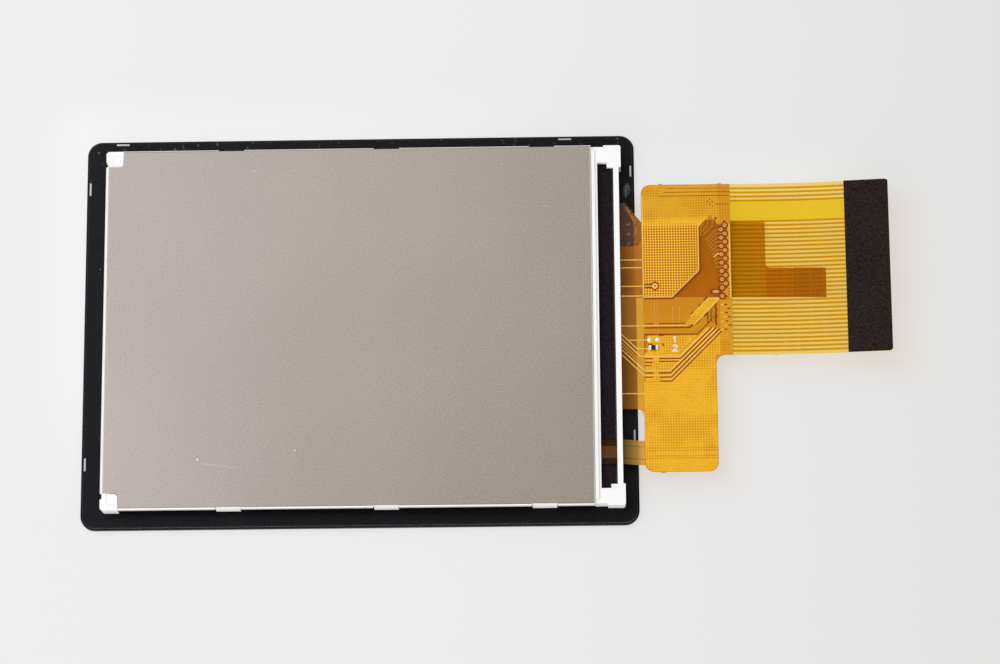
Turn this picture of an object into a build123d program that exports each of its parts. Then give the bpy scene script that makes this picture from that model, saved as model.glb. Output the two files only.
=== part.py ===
"""TFT display module with a touch panel, lying on its front glass, seen from behind.

Units are millimetres. The origin is the centre of the cover lens's front face,
+X points along the module to the connector tail, and +Z points to the module's back.
"""
from build123d import *
import os

# Display area and the module's borders round it
active_length = 48.96
active_width = 36.72
border_far = 2.675
border_tail = 8.625
border_side = 3.0
window_margin = 0.45

# Cover lens and touch sensor
cover_margin_far = 2.545
cover_margin_tail = 1.595
cover_margin_side = 1.89
cover_thickness = 0.70
cover_corner_radius = 1.7
cover_edge_chamfer = 0.12
print_thickness = 0.02
print_edge_gap = 0.15
adhesive_thickness = 0.125
sensor_thickness = 0.125
sensor_edge_gap = 0.20

# Silver registration marks on the sensor's back, placed from the ends of each edge
mark_length = 1.50
mark_length_tail = 1.28
mark_width = 0.20
mark_thickness = 0.015
mark_inset = 0.44
mark_top_from_far = 4.2
mark_top_from_tail = 8.1
mark_left_from_top = 5.85
mark_left_from_bottom = 7.65
mark_right_from_top = 4.45
mark_right_from_bottom = 10.4

# Layers of the display, from front to back
tape_thickness = 0.30
tape_inset = 0.55
polarizer_thickness = 0.15
polarizer_inset = 0.25
glass_thickness = 0.40
glass_inset = 0.36
glass_gap = 0.06
filter_setback = 0.90
shield_thickness = 0.06
shield_inset = 0.2
film_count = 3
film_thickness = 0.06
guide_gap = 0.03
guide_thickness = 0.55
reflector_thickness = 0.07
film_gap = 0.10

# Folded back plate
plate_sheet = 0.15
plate_bend_radius = 0.26
plate_flange = 0.82
plate_gap = 0.05
plate_corner_length = 2.05
plate_corner_width = 1.95
plate_corner_radius = 0.40

# Moulded frame
frame_wall = 0.90
post_top_drop = 0.28
post_pad_rise = 0.08
post_pad_inset = 0.60
post_relief_length = 0.62
post_relief_depth = 0.24
post_chamfer = 0.25
post_floor_gap = 0.03
lug_count = 3
lug_pitch = 18.15
lug_end_distance = 5.75
lug_length = 2.80
lug_gap = 0.08
lug_reach = 0.02
lug_top_drop = 0.57
lug_height = 1.40
end_wall = 0.70
end_lip_width = 0.40
end_lip_rise = 0.20
end_lip_setback = 0.45
slot_width = 1.87
outer_rail_width = 0.63
outer_rail_setback = 0.26
outer_rail_clearance = 0.05
block_width_top = 2.10
block_width_bottom = 1.94
block_step_length = 0.75
block_step_width = 0.52
block_step_drop = 0.25
block_recess_length = 1.45
block_corner_radius = 0.25

# Light sources on their own small flex
led_count = 4
led_row_end = 5.61
led_width = 3.0
led_depth = 0.90
led_height = 0.60
led_window_border = 0.15
led_window_depth = 0.25
led_flex_thickness = 0.08
led_strip_width = 2.20
led_strip_overhang = 2.0
led_tab_width = 2.85
led_tab_inset = 2.25
led_tab_lap = 2.3
led_tab_drop_run = 1.9
led_tab_bend_radius = 0.8
led_end_gap = 0.05

# Driver chip and black tape on the glass ledge
driver_length = 17.0
driver_width = 0.90
driver_height = 0.30
driver_gap = 0.70
ledge_tape_thickness = 0.06
ledge_tape_margin = 0.10

# Main flex circuit: neck, board and connector tail
flex_thickness = 0.12
flex_bond_lap = 1.40
neck_top_setback = 11.90
neck_bottom_setback = 11.42
board_gap = 2.295
board_length = 8.45
board_bottom_setback = 4.01
tail_top_setback = 4.51
tail_length = 20.30
tail_dip_distance = 8.95
tail_dip_depth = 0.22
tail_end_rise = 1.25
tail_start_radius = 60.0
tail_dip_radius = 70.0
board_corner_radius = 1.10
neck_corner_radius = 0.90
tail_corner_radius = 1.05
tail_end_radius = 0.40
nub_length = 0.5
nub_reach = 0.10
nub_board_top = 2.3
nub_tail_top = 0.75
nub_board_bottom = 2.1
nub_tail_bottom = 6.85
contact_count = 40
contact_pitch = 0.50
contact_width = 0.35
contact_length = 3.30
contact_setback = 0.10
conductor_width = 0.23
conductor_inset = 1.95
conductor_thickness = 0.03
conductor_gap_first = 4
conductor_gap_count = 4
stiffener_length = 5.10
stiffener_thickness = 0.20

# Chip resistor and the bare pads beside it
resistor_from_board_edge = 1.18
resistor_from_tail_edge = 0.91
resistor_length = 1.0
resistor_width = 0.50
resistor_height = 0.33
terminal_length = 0.24
pad_pitch = 0.88
pad_length = 0.40
pad_width = 0.60
pad_height = 0.04
pad_row_offset = 0.96

# Touch flex circuit under the main one
touch_flex_thickness = 0.10
touch_root_lap = 1.205
touch_root_reach = 0.495
touch_root_rise = 2.35
touch_top_setback = 4.30
touch_width = 9.10
touch_tongue_length = 6.0
touch_tail_length = 7.0
touch_fall_setback = 0.35
touch_tip_height = 0.17
touch_fall_radius = 40.0
touch_inner_radius = 0.5
touch_contact_count = 6
touch_contact_width = 0.30
touch_contact_length = 3.0
touch_contact_thickness = 0.03
touch_stiffener_length = 3.75
touch_stiffener_thickness = 0.20
controller_size = 4.0
controller_height = 0.55
controller_from_board_edge = 4.5
controller_from_touch_top = 3.95
capacitor_length = 1.0
capacitor_width = 0.5
capacitor_height = 0.45
capacitor_count = 4
capacitor_pitch = 1.1
capacitor_gap = 0.6

# Dab of adhesive beside the touch flex
dab_length = 1.0
dab_width = 2.0
dab_height = 0.26
dab_round = 0.20
dab_corner_radius = 0.45
dab_from_module = 0.70
dab_from_touch_root = 1.45

# Levels worked out from the stack
print_level = cover_thickness
adhesive_level = print_level + print_thickness
sensor_level = adhesive_level + adhesive_thickness
panel_back = sensor_level + sensor_thickness
front_polarizer_level = panel_back + tape_thickness
filter_level = front_polarizer_level + polarizer_thickness
array_level = filter_level + glass_thickness
rear_polarizer_level = array_level + glass_thickness
shield_level = rear_polarizer_level + polarizer_thickness
frame_base = shield_level + shield_thickness
guide_level = frame_base + film_count * film_thickness + guide_gap
reflector_level = guide_level + guide_thickness
plate_under = reflector_level + reflector_thickness
plate_top = plate_under + plate_sheet
flange_bottom = plate_top - plate_flange
post_top = plate_top - post_top_drop
leg_bottom = panel_back + post_floor_gap
flex_level = array_level - flex_thickness
board_back = flex_level + flex_thickness

# Outlines of the module and the cover, with the origin at the cover's centre
module_length = active_length + border_far + border_tail
module_width = active_width + 2 * border_side
cover_length = module_length + cover_margin_far + cover_margin_tail
cover_width = module_width + 2 * cover_margin_side
module_left = cover_margin_far - cover_length / 2
module_right = module_left + module_length
half_width = module_width / 2
active_middle = module_left + border_far + active_length / 2

# Edges at the tail end, from the outline inwards
outer_rail_right = module_right - outer_rail_setback
outer_rail_left = outer_rail_right - outer_rail_width
end_wall_right = outer_rail_left - slot_width
end_wall_left = end_wall_right - end_wall
plate_right = end_wall_left - plate_gap
filter_right = end_wall_left - filter_setback
array_right = outer_rail_left - glass_gap
strip_right = end_wall_left - led_end_gap
strip_left = strip_right - led_strip_width
led_left = strip_right - led_depth
guide_right = led_left - led_end_gap
film_right = strip_left - film_gap

# Edges of the glass, the frame's walls and its cavity
flange_allowance = plate_sheet + plate_gap
wall_face = half_width - flange_allowance
glass_left = module_left + glass_inset
glass_half = half_width - glass_inset
cavity_left = module_left + flange_allowance + frame_wall
cavity_half = wall_face - frame_wall
lug_middles = [plate_right - lug_end_distance - place * lug_pitch for place in range(lug_count)]

# Edges of the main flex circuit
neck_top = half_width - neck_top_setback
neck_bottom = neck_bottom_setback - half_width
board_left = module_right + board_gap
board_right = board_left + board_length
board_bottom = board_bottom_setback - half_width
tail_top = half_width - tail_top_setback
tail_end = board_right + tail_length
tail_width = (contact_count + 1) * contact_pitch
tail_bottom = tail_top - tail_width
stiffener_start = tail_end - stiffener_length
finger_start = tail_end - contact_setback - contact_length
led_tab_middle = board_bottom + led_tab_inset
resistor_place = (board_left + resistor_from_board_edge, tail_bottom + resistor_from_tail_edge)

# Edges of the touch flex circuit
touch_top = tail_top - touch_top_setback
touch_bottom = touch_top - touch_width
touch_root_left = module_right - touch_root_lap
touch_root_right = module_right + touch_root_reach
touch_root_top = touch_top + touch_root_rise
touch_tongue_end = board_right + touch_tongue_length
touch_tail_end = touch_tongue_end + touch_tail_length
touch_tail_width = (touch_contact_count + 1) * contact_pitch
touch_finger_start = touch_tail_end - contact_setback - touch_contact_length
controller_place = (board_left + controller_from_board_edge, touch_top - controller_from_touch_top)
dab_place = (module_right + dab_from_module, touch_root_top + dab_from_touch_root)


def span(x_low, x_high, y_low, y_high, z_low, z_high):
    """Rectangular block between two opposite corners."""
    size = Box(x_high - x_low, y_high - y_low, z_high - z_low)
    return Pos((x_low + x_high) / 2, (y_low + y_high) / 2, (z_low + z_high) / 2) * size


def plate(outline, level, thickness):
    """Flat sheet of the given outline, with its front face at the given level."""
    return extrude(Pos(0, 0, level) * outline, amount=thickness)


def rectangle(x_low, x_high, y_low, y_high):
    """Rectangle between two opposite corners."""
    return Pos((x_low + x_high) / 2, (y_low + y_high) / 2) * Rectangle(x_high - x_low, y_high - y_low)


def window_outline(margin):
    """Active area of the display, grown by a margin all round."""
    return Pos(active_middle, 0) * Rectangle(active_length + 2 * margin, active_width + 2 * margin)


def panel_outline(inset):
    """Outline of the cover lens, drawn in by an inset."""
    radius = cover_corner_radius - inset
    return RectangleRounded(cover_length - 2 * inset, cover_width - 2 * inset, radius)


def parallel_route(points, radii, height):
    """Corner points and bend radii of a route that runs beside another at a given height."""
    directions = [(Vector(*b) - Vector(*a)).normalized() for a, b in zip(points, points[1:])]
    normals = [Vector(-d.Y, d.X) for d in directions]
    before = [normals[0]] + normals
    after = normals + [normals[-1]]
    moved = []
    for point, first, second in zip(points, before, after):
        moved.append(Vector(*point) + (first + second) * (height / (1 + first.dot(second))))
    bends = []
    for radius, first, second in zip(radii, directions, directions[1:]):
        turns_up = first.X * second.Y - first.Y * second.X > 0
        bends.append(radius - height if turns_up else radius + height)
    return moved, bends


def sheet(points, radii, low, high, outline):
    """Bent sheet: the band between two heights over a side-view route, cut to a plan outline."""
    lower_points, lower_radii = parallel_route(points, radii, low)
    upper_points, upper_radii = parallel_route(points, radii, high)
    lower = FilletPolyline(*lower_points, radius=lower_radii)
    upper = FilletPolyline(*upper_points, radius=upper_radii)
    ends = [Line(lower @ 0, upper @ 0), Line(lower @ 1, upper @ 1)]
    side = make_face(lower.edges() + upper.edges() + [end.edge() for end in ends])
    band = extrude(Plane.XZ * side, amount=cover_width, both=True)
    column = extrude(Pos(0, 0, -plate_top) * outline, amount=3 * plate_top)
    return band & column


def flex_route():
    """Side view of the main flex circuit's front face: flat, a slight dip, then a rise to the tip."""
    points = [
        (array_right - flex_bond_lap, flex_level),
        (board_right, flex_level),
        (board_right + tail_dip_distance, flex_level - tail_dip_depth),
        (tail_end, flex_level + tail_end_rise),
    ]
    return points, [tail_start_radius, tail_dip_radius]


def touch_route():
    """Side view of the touch flex circuit's front face: flat off the sensor, then falling."""
    points = [
        (touch_root_left, panel_back),
        (board_right - touch_fall_setback, panel_back),
        (touch_tail_end, touch_tip_height),
    ]
    return points, [touch_fall_radius]


def led_route():
    """Side view of the light flex: flat under the sources, then down to the main board's front."""
    lap_level = flex_level - led_flex_thickness
    drop_start = board_left - led_tab_drop_run - led_tab_bend_radius / 2
    points = [
        (strip_left, frame_base),
        (drop_start, frame_base),
        (drop_start + led_tab_drop_run, lap_level),
        (board_left + led_tab_lap, lap_level),
    ]
    return points, [led_tab_bend_radius, led_tab_bend_radius]


def make_cover_lens():
    lens = plate(panel_outline(0), 0, cover_thickness)
    rims = lens.faces().sort_by(Axis.Z)[0].edges() + lens.faces().sort_by(Axis.Z)[-1].edges()
    return chamfer(rims, cover_edge_chamfer)


def make_border_print():
    return plate(panel_outline(print_edge_gap) - window_outline(window_margin), print_level, print_thickness)


def make_sensor_adhesive():
    sheet_body = plate(panel_outline(sensor_edge_gap), adhesive_level, adhesive_thickness)
    return sheet_body + plate(window_outline(window_margin), print_level, print_thickness)


def make_touch_sensor():
    return plate(panel_outline(sensor_edge_gap), sensor_level, sensor_thickness)


def make_registration_marks():
    end, top = cover_length / 2, cover_width / 2
    flat = Rectangle(mark_length, mark_width)
    upright = Rectangle(mark_width, mark_length)
    upright_tail = Rectangle(mark_width, mark_length_tail)
    marks = [
        Pos(mark_top_from_far - end, top - mark_inset) * flat,
        Pos(end - mark_top_from_tail, top - mark_inset) * flat,
        Pos(mark_inset - end, top - mark_left_from_top) * upright,
        Pos(mark_inset - end, mark_left_from_bottom - top) * upright,
        Pos(end - mark_inset, top - mark_right_from_top) * upright_tail,
        Pos(end - mark_inset, mark_right_from_bottom - top) * upright_tail,
    ]
    return [plate(mark, panel_back, mark_thickness) for mark in marks]


def make_module_tape():
    half = glass_half - tape_inset
    outer = rectangle(glass_left + tape_inset, filter_right - tape_inset, -half, half)
    return plate(outer - window_outline(window_margin), panel_back, tape_thickness)


def polarizer(level):
    half = glass_half - polarizer_inset
    outline = rectangle(glass_left + polarizer_inset, filter_right - polarizer_inset, -half, half)
    return plate(outline, level, polarizer_thickness)


def glass(level, right):
    return plate(rectangle(glass_left, right, -glass_half, glass_half), level, glass_thickness)


def make_driver_chip():
    left = filter_right + driver_gap
    outline = rectangle(left, left + driver_width, -driver_length / 2, driver_length / 2)
    return plate(outline, array_level - driver_height, driver_height)


def make_ledge_tape():
    half = glass_half - ledge_tape_margin
    outline = rectangle(filter_right, array_right - ledge_tape_margin, -half, half)
    return plate(outline, rear_polarizer_level, ledge_tape_thickness)


def make_light_shield():
    half = glass_half - polarizer_inset - shield_inset
    left = glass_left + polarizer_inset + shield_inset
    outer = rectangle(left, filter_right - polarizer_inset - shield_inset, -half, half)
    return plate(outer - window_outline(window_margin), shield_level, shield_thickness)


def optical_outline(right):
    """Outline of a film inside the frame: its two far corners are cut out round the frame's posts."""
    left = cavity_left + film_gap
    half = cavity_half - film_gap
    outline = rectangle(left, right, -half, half)
    post_right = module_left + plate_corner_length + film_gap
    post_edge = half_width - plate_corner_width - film_gap
    for side in (-1, 1):
        near, far = sorted((side * post_edge, side * half_width))
        outline -= rectangle(module_left, post_right, near, far)
    return outline


def make_light_guide():
    return plate(optical_outline(guide_right), guide_level, guide_thickness)


def make_film(place):
    return plate(optical_outline(film_right), frame_base + place * film_thickness, film_thickness)


def make_reflector():
    return plate(optical_outline(guide_right), reflector_level, reflector_thickness)


def corner_window(side, grow):
    """Plan of a cut-out at one of the plate's two far corners, rounded at its inner corner."""
    length = plate_corner_length + grow
    width = plate_corner_width + grow
    near, far = sorted((side * (half_width - width), side * half_width))
    outline = rectangle(module_left, module_left + length, near, far)
    inner = outline.vertices().sort_by(Axis.X)[-2:].sort_by(Axis.Y)[0 if side > 0 else -1]
    return fillet(inner, plate_corner_radius)


def make_back_plate():
    outer = span(module_left, plate_right, -half_width, half_width, flange_bottom, plate_top)
    bends = outer.faces().sort_by(Axis.Z)[-1].edges()
    outer = fillet(bends.sort_by(Axis.X)[:-1], plate_bend_radius)
    inside_half = half_width - plate_sheet
    beyond = plate_right + module_length
    inside = span(module_left + plate_sheet, beyond, -inside_half, inside_half, 0, plate_under)
    inner_bends = inside.faces().sort_by(Axis.Z)[-1].edges()
    inside = fillet(inner_bends.sort_by(Axis.X)[:-1], plate_bend_radius - plate_sheet)
    folded = outer - inside
    for side in (-1, 1):
        folded -= plate(corner_window(side, 0), 0, 2 * plate_top)
        near, far = sorted((side * wall_face, side * module_width))
        half_gap = lug_length / 2 + lug_gap
        for middle in lug_middles:
            folded -= span(middle - half_gap, middle + half_gap, near, far, 0, 2 * plate_top)
    return folded


def frame_post(side):
    """Corner post at the far end, with a raised pad and a relief where the plate's fold ends."""
    plan = corner_window(side, -plate_gap)
    post = plate(plan, leg_bottom, post_top - leg_bottom)
    outer_edge = post.edges().filter_by(Axis.Z).sort_by(Axis.X)[:2].sort_by(Axis.Y)[-1 if side > 0 else 0]
    post = chamfer(outer_edge, post_chamfer)
    pad_edge = half_width - post_pad_inset
    inner_edge = half_width - plate_corner_width + plate_gap
    near, far = sorted((side * inner_edge, side * pad_edge))
    pad_plan = rectangle(module_left + post_pad_inset, module_left + plate_corner_length, near, far) & plan
    post += plate(pad_plan, post_top, post_pad_rise)
    near, far = sorted((side * inner_edge, side * (inner_edge + post_relief_length)))
    relief_right = module_left + post_relief_depth
    return post - span(module_left, relief_right, near, far, 0, plate_top)


def frame_block(side):
    """Block at the tail end: flush with the outline beyond a recess that meets the plate's fold."""
    recess_right = end_wall_left + block_recess_length
    inner = half_width - (block_width_top if side > 0 else block_width_bottom)
    near, far = sorted((side * inner, side * half_width))
    full = rectangle(recess_right, module_right, near, far)
    corner = full.vertices().sort_by(Axis.X)[-2:].sort_by(Axis.Y)[-1 if side > 0 else 0]
    full = fillet(corner, block_corner_radius)
    near, far = sorted((side * inner, side * wall_face))
    plan = full + rectangle(end_wall_left, recess_right, near, far)
    block = plate(plan, leg_bottom, post_top - leg_bottom)
    near, far = sorted((side * (inner - block_step_width), side * inner))
    block += span(outer_rail_right, module_right, near, far, leg_bottom, post_top)
    step = (outer_rail_left - block_step_length, outer_rail_left, near, far)
    return block + span(*step, frame_base, post_top - block_step_drop)


def frame_lug(side, middle):
    """Small lug on a long side that stands in a gap of the plate's fold and runs down past the glass."""
    near, far = sorted((side * (glass_half + glass_gap), side * (half_width - lug_reach)))
    top = plate_top - lug_top_drop
    return span(middle - lug_length / 2, middle + lug_length / 2, near, far, top - lug_height, top)


def make_backlight_frame():
    left = module_left + flange_allowance
    body = span(left, end_wall_right, -wall_face, wall_face, frame_base, plate_under)
    rim = body.faces().sort_by(Axis.Z)[-1].edges().sort_by(Axis.X)[:-1]
    body = fillet(rim, plate_bend_radius - plate_sheet)
    body -= span(end_wall_left, end_wall_right, -wall_face, wall_face, post_top, plate_top)
    lip_half = wall_face - end_lip_setback
    lip_right = end_wall_left + end_lip_width
    body += span(end_wall_left, lip_right, -lip_half, lip_half, frame_base, post_top + end_lip_rise)
    body -= span(cavity_left, end_wall_left, -cavity_half, cavity_half, 0, 2 * plate_top)
    for side in (-1, 1):
        body -= plate(corner_window(side, 0), post_top, plate_top)
        body += frame_post(side)
        body += frame_block(side)
        for middle in lug_middles:
            body += frame_lug(side, middle)
    rail_base = frame_base + led_flex_thickness + outer_rail_clearance
    rail_low, rail_high = block_width_bottom - half_width, half_width - block_width_top
    body += span(outer_rail_left, outer_rail_right, rail_low, rail_high, rail_base, post_top)
    seat_half = glass_half + glass_gap
    body -= span(glass_left - glass_gap, array_right + glass_gap, -seat_half, seat_half, 0, frame_base)
    pass_half = led_tab_width / 2 + outer_rail_clearance
    low, high = led_tab_middle - pass_half, led_tab_middle + pass_half
    return body - span(end_wall_left, end_wall_right, low, high, 0, rail_base)


def led_rows():
    reach = active_width / 2 - led_row_end
    return [reach * (2 * row / (led_count - 1) - 1) for row in range(led_count)]


def led_window(y):
    """Recess in the emitting face of one source, which faces the light guide."""
    half = led_width / 2 - led_window_border
    low = frame_base + led_flex_thickness + led_window_border
    high = frame_base + led_flex_thickness + led_height - led_window_border
    return span(led_left, led_left + led_window_depth, y - half, y + half, low, high)


def make_leds():
    low = frame_base + led_flex_thickness
    half = led_width / 2
    bodies = []
    for y in led_rows():
        package = span(led_left, led_left + led_depth, y - half, y + half, low, low + led_height)
        bodies.append(package - led_window(y))
    return bodies


def make_led_phosphors():
    return [led_window(y) for y in led_rows()]


def make_led_flex():
    half = led_rows()[-1] + led_width / 2 + led_strip_overhang
    strip = rectangle(strip_left, strip_right, -half, half)
    low, high = led_tab_middle - led_tab_width / 2, led_tab_middle + led_tab_width / 2
    tab = rectangle(strip_left, board_left + led_tab_lap, low, high)
    points, radii = led_route()
    return sheet(points, radii, 0, led_flex_thickness, strip + tab)


def flex_outline():
    """Plan of the main flex circuit: neck from the glass, long board, and tail to the connector."""
    board = rectangle(board_left, board_right, board_bottom, tail_top)
    tail = rectangle(board_right, tail_end, tail_bottom, tail_top)
    neck = rectangle(array_right - flex_bond_lap, board_left, neck_bottom, neck_top)
    outline = make_face((board + tail + neck).face().outer_wire().edges())
    corners = {
        (board_left, tail_top): board_corner_radius,
        (board_left, board_bottom): board_corner_radius,
        (board_right, board_bottom): board_corner_radius,
        (board_right, tail_bottom): tail_corner_radius,
        (tail_end, tail_bottom): tail_end_radius,
        (tail_end, tail_top): tail_end_radius,
        (board_left, neck_bottom): neck_corner_radius,
        (board_left, neck_top): neck_corner_radius,
    }
    for (x, y), radius in corners.items():
        outline = fillet(outline.vertices().sort_by_distance((x, y, 0))[0], radius)
    nubs = [
        (board_left + nub_board_top, tail_top),
        (board_right + nub_tail_top, tail_top),
        (board_left + nub_board_bottom, board_bottom),
        (board_right + nub_tail_bottom, tail_bottom),
    ]
    for x, y in nubs:
        outline += Pos(x, y) * Rectangle(nub_length, 2 * nub_reach)
    return outline


def make_lcd_flex():
    points, radii = flex_route()
    return sheet(points, radii, 0, flex_thickness, flex_outline())


def contact_row(place):
    """Distance of one contact's centre line across the tail, counted from the tail's top edge."""
    return tail_top - (place + 1) * contact_pitch


def make_tail_conductors():
    points, radii = flex_route()
    skipped = range(conductor_gap_first, conductor_gap_first + conductor_gap_count)
    half = conductor_width / 2
    bodies = []
    for place in range(contact_count):
        if place in skipped:
            continue
        y = contact_row(place)
        outline = rectangle(board_right + conductor_inset, finger_start, y - half, y + half)
        bodies.append(sheet(points, radii, -conductor_thickness, 0, outline))
    return bodies


def make_contact_fingers():
    points, radii = flex_route()
    half = contact_width / 2
    bodies = []
    for place in range(contact_count):
        y = contact_row(place)
        outline = rectangle(finger_start, tail_end - contact_setback, y - half, y + half)
        bodies.append(sheet(points, radii, -conductor_thickness, 0, outline))
    return bodies


def make_contact_stiffener():
    points, radii = flex_route()
    outline = rectangle(stiffener_start, tail_end, tail_bottom, tail_top)
    outline = fillet(outline.vertices().sort_by(Axis.X)[-2:], tail_end_radius)
    return sheet(points, radii, flex_thickness, flex_thickness + stiffener_thickness, outline)


def make_chip_resistor():
    x, y = resistor_place
    half = resistor_length / 2 - terminal_length
    low, high = y - resistor_width / 2, y + resistor_width / 2
    return span(x - half, x + half, low, high, board_back, board_back + resistor_height)


def make_resistor_terminals():
    x, y = resistor_place
    low, high = y - resistor_width / 2, y + resistor_width / 2
    bodies = []
    for side in (-1, 1):
        outer = x + side * resistor_length / 2
        near, far = sorted((outer, outer - side * terminal_length))
        bodies.append(span(near, far, low, high, board_back, board_back + resistor_height))
    return bodies


def make_solder_pads():
    x, y = resistor_place
    outline = Rectangle(pad_length, pad_width)
    places = [(x + side * pad_pitch / 2, y + pad_row_offset) for side in (-1, 1)]
    return [plate(Pos(*place) * outline, board_back, pad_height) for place in places]


def touch_outline():
    """Plan of the touch flex: wide root on the sensor, slanted shoulder, tongue and narrow tail."""
    tail_edge = touch_bottom + touch_tail_width
    outline = make_face(
        Polyline(
            (touch_root_left, touch_bottom),
            (touch_tail_end, touch_bottom),
            (touch_tail_end, tail_edge),
            (touch_tongue_end, tail_edge),
            (touch_tongue_end, touch_top),
            (board_left, touch_top),
            (touch_root_right, touch_root_top),
            (touch_root_left, touch_root_top),
            close=True,
        )
    )
    inner = outline.vertices().sort_by_distance((touch_tongue_end, tail_edge, 0))[0]
    return fillet(inner, touch_inner_radius)


def make_touch_flex():
    points, radii = touch_route()
    return sheet(points, radii, 0, touch_flex_thickness, touch_outline())


def make_touch_stiffener():
    points, radii = touch_route()
    left = touch_tail_end - touch_stiffener_length
    outline = rectangle(left, touch_tail_end, touch_bottom, touch_bottom + touch_tail_width)
    top = touch_flex_thickness + touch_stiffener_thickness
    return sheet(points, radii, touch_flex_thickness, top, outline)


def make_touch_contacts():
    points, radii = touch_route()
    half = touch_contact_width / 2
    bodies = []
    for place in range(touch_contact_count):
        y = touch_bottom + (place + 1) * contact_pitch
        outline = rectangle(touch_finger_start, touch_tail_end - contact_setback, y - half, y + half)
        bodies.append(sheet(points, radii, -touch_contact_thickness, 0, outline))
    return bodies


def make_touch_controller():
    x, y = controller_place
    outline = Pos(x, y) * Rectangle(controller_size, controller_size)
    return plate(outline, panel_back - controller_height, controller_height)


def make_touch_capacitors():
    x, y = controller_place
    row = y - controller_size / 2 - capacitor_gap - capacitor_length / 2
    outline = Rectangle(capacitor_width, capacitor_length)
    first = x - (capacitor_count - 1) / 2 * capacitor_pitch
    places = [first + place * capacitor_pitch for place in range(capacitor_count)]
    level = panel_back - capacitor_height
    return [plate(Pos(place, row) * outline, level, capacitor_height) for place in places]


def make_glue_dab():
    x, y = dab_place
    outline = Pos(x, y) * RectangleRounded(dab_length, dab_width, dab_corner_radius)
    dab = plate(outline, panel_back, dab_height)
    return fillet(dab.faces().sort_by(Axis.Z)[-1].edges(), dab_round)


nodes = {
    "cover_lens": make_cover_lens(),
    "border_print": make_border_print(),
    "sensor_adhesive": make_sensor_adhesive(),
    "touch_sensor": make_touch_sensor(),
    "registration_marks": make_registration_marks(),
    "module_tape": make_module_tape(),
    "front_polarizer": polarizer(front_polarizer_level),
    "colour_filter_glass": glass(filter_level, filter_right),
    "tft_glass": glass(array_level, array_right),
    "driver_chip": make_driver_chip(),
    "ledge_tape": make_ledge_tape(),
    "rear_polarizer": polarizer(rear_polarizer_level),
    "light_shield": make_light_shield(),
    "upper_prism_film": make_film(0),
    "lower_prism_film": make_film(1),
    "diffuser_film": make_film(2),
    "light_guide": make_light_guide(),
    "reflector_film": make_reflector(),
    "backlight_frame": make_backlight_frame(),
    "back_plate": make_back_plate(),
    "leds": make_leds(),
    "led_phosphors": make_led_phosphors(),
    "led_flex": make_led_flex(),
    "lcd_flex": make_lcd_flex(),
    "tail_conductors": make_tail_conductors(),
    "contact_fingers": make_contact_fingers(),
    "contact_stiffener": make_contact_stiffener(),
    "chip_resistor": make_chip_resistor(),
    "resistor_terminals": make_resistor_terminals(),
    "solder_pads": make_solder_pads(),
    "touch_flex": make_touch_flex(),
    "touch_stiffener": make_touch_stiffener(),
    "touch_contacts": make_touch_contacts(),
    "touch_controller": make_touch_controller(),
    "touch_capacitors": make_touch_capacitors(),
    "glue_dab": make_glue_dab(),
}

os.makedirs("parts", exist_ok=True)
for name, shape in nodes.items():
    pieces = shape if isinstance(shape, list) else [shape]
    solids = [solid for piece in pieces for solid in piece.solids()]
    export_step(Compound(children=solids) if len(solids) > 1 else solids[0], f"parts/{name}.step")
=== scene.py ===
"""Looks for a display module that lies on its front glass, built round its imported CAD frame.

Pieces are in metres in the CAD frame: x runs along the module to the connector tail, y across it,
and z from the front glass to the back. Artwork is laid out in millimetres and scaled on the way in.
"""

import bpy
import numpy as np
from bpy.props import FloatProperty, FloatVectorProperty, IntProperty, PointerProperty
from mathutils import Euler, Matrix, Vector


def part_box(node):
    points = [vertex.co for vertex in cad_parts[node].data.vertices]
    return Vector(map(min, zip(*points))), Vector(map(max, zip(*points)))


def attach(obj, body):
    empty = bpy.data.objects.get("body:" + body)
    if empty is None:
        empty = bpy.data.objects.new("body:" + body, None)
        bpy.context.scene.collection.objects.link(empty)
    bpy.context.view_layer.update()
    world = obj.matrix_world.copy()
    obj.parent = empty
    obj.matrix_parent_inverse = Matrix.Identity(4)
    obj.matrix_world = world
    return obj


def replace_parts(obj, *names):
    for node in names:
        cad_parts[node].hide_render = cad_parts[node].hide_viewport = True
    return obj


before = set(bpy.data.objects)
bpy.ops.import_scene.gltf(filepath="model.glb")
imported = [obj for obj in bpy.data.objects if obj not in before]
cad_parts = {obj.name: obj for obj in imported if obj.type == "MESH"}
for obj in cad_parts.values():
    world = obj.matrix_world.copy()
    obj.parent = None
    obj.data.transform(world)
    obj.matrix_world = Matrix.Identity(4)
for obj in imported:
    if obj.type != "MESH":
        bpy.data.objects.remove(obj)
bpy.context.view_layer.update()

bl_info = {
    "name": "Display Module Looks",
    "version": (1, 0, 0),
    "blender": (4, 5, 0),
    "location": "View3D > Sidebar > Display Module",
    "description": "Finishes, copper artwork, stage and camera for a display module seen from behind",
    "category": "Object",
}

MM = 0.001

# Looks that several finishes share
PLAIN_GLOSS = 0.5
SOFT_GLOSS = 0.22
DULL_GLOSS = 0.10
GLASS_INDEX = 1.5
# Grey of dust and wear, and of the painted highlight line on the touch film's edge
DUST_WEAR_AND_HIGHLIGHT_GREY = (0.55, 0.55, 0.55)
WINDOW_TINT = (0.94, 0.95, 0.95)
MARK_PALE = (0.85, 0.84, 0.82)
PRISM_GREY = (0.82, 0.84, 0.86)
PRISM_PITCH = 0.05

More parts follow.
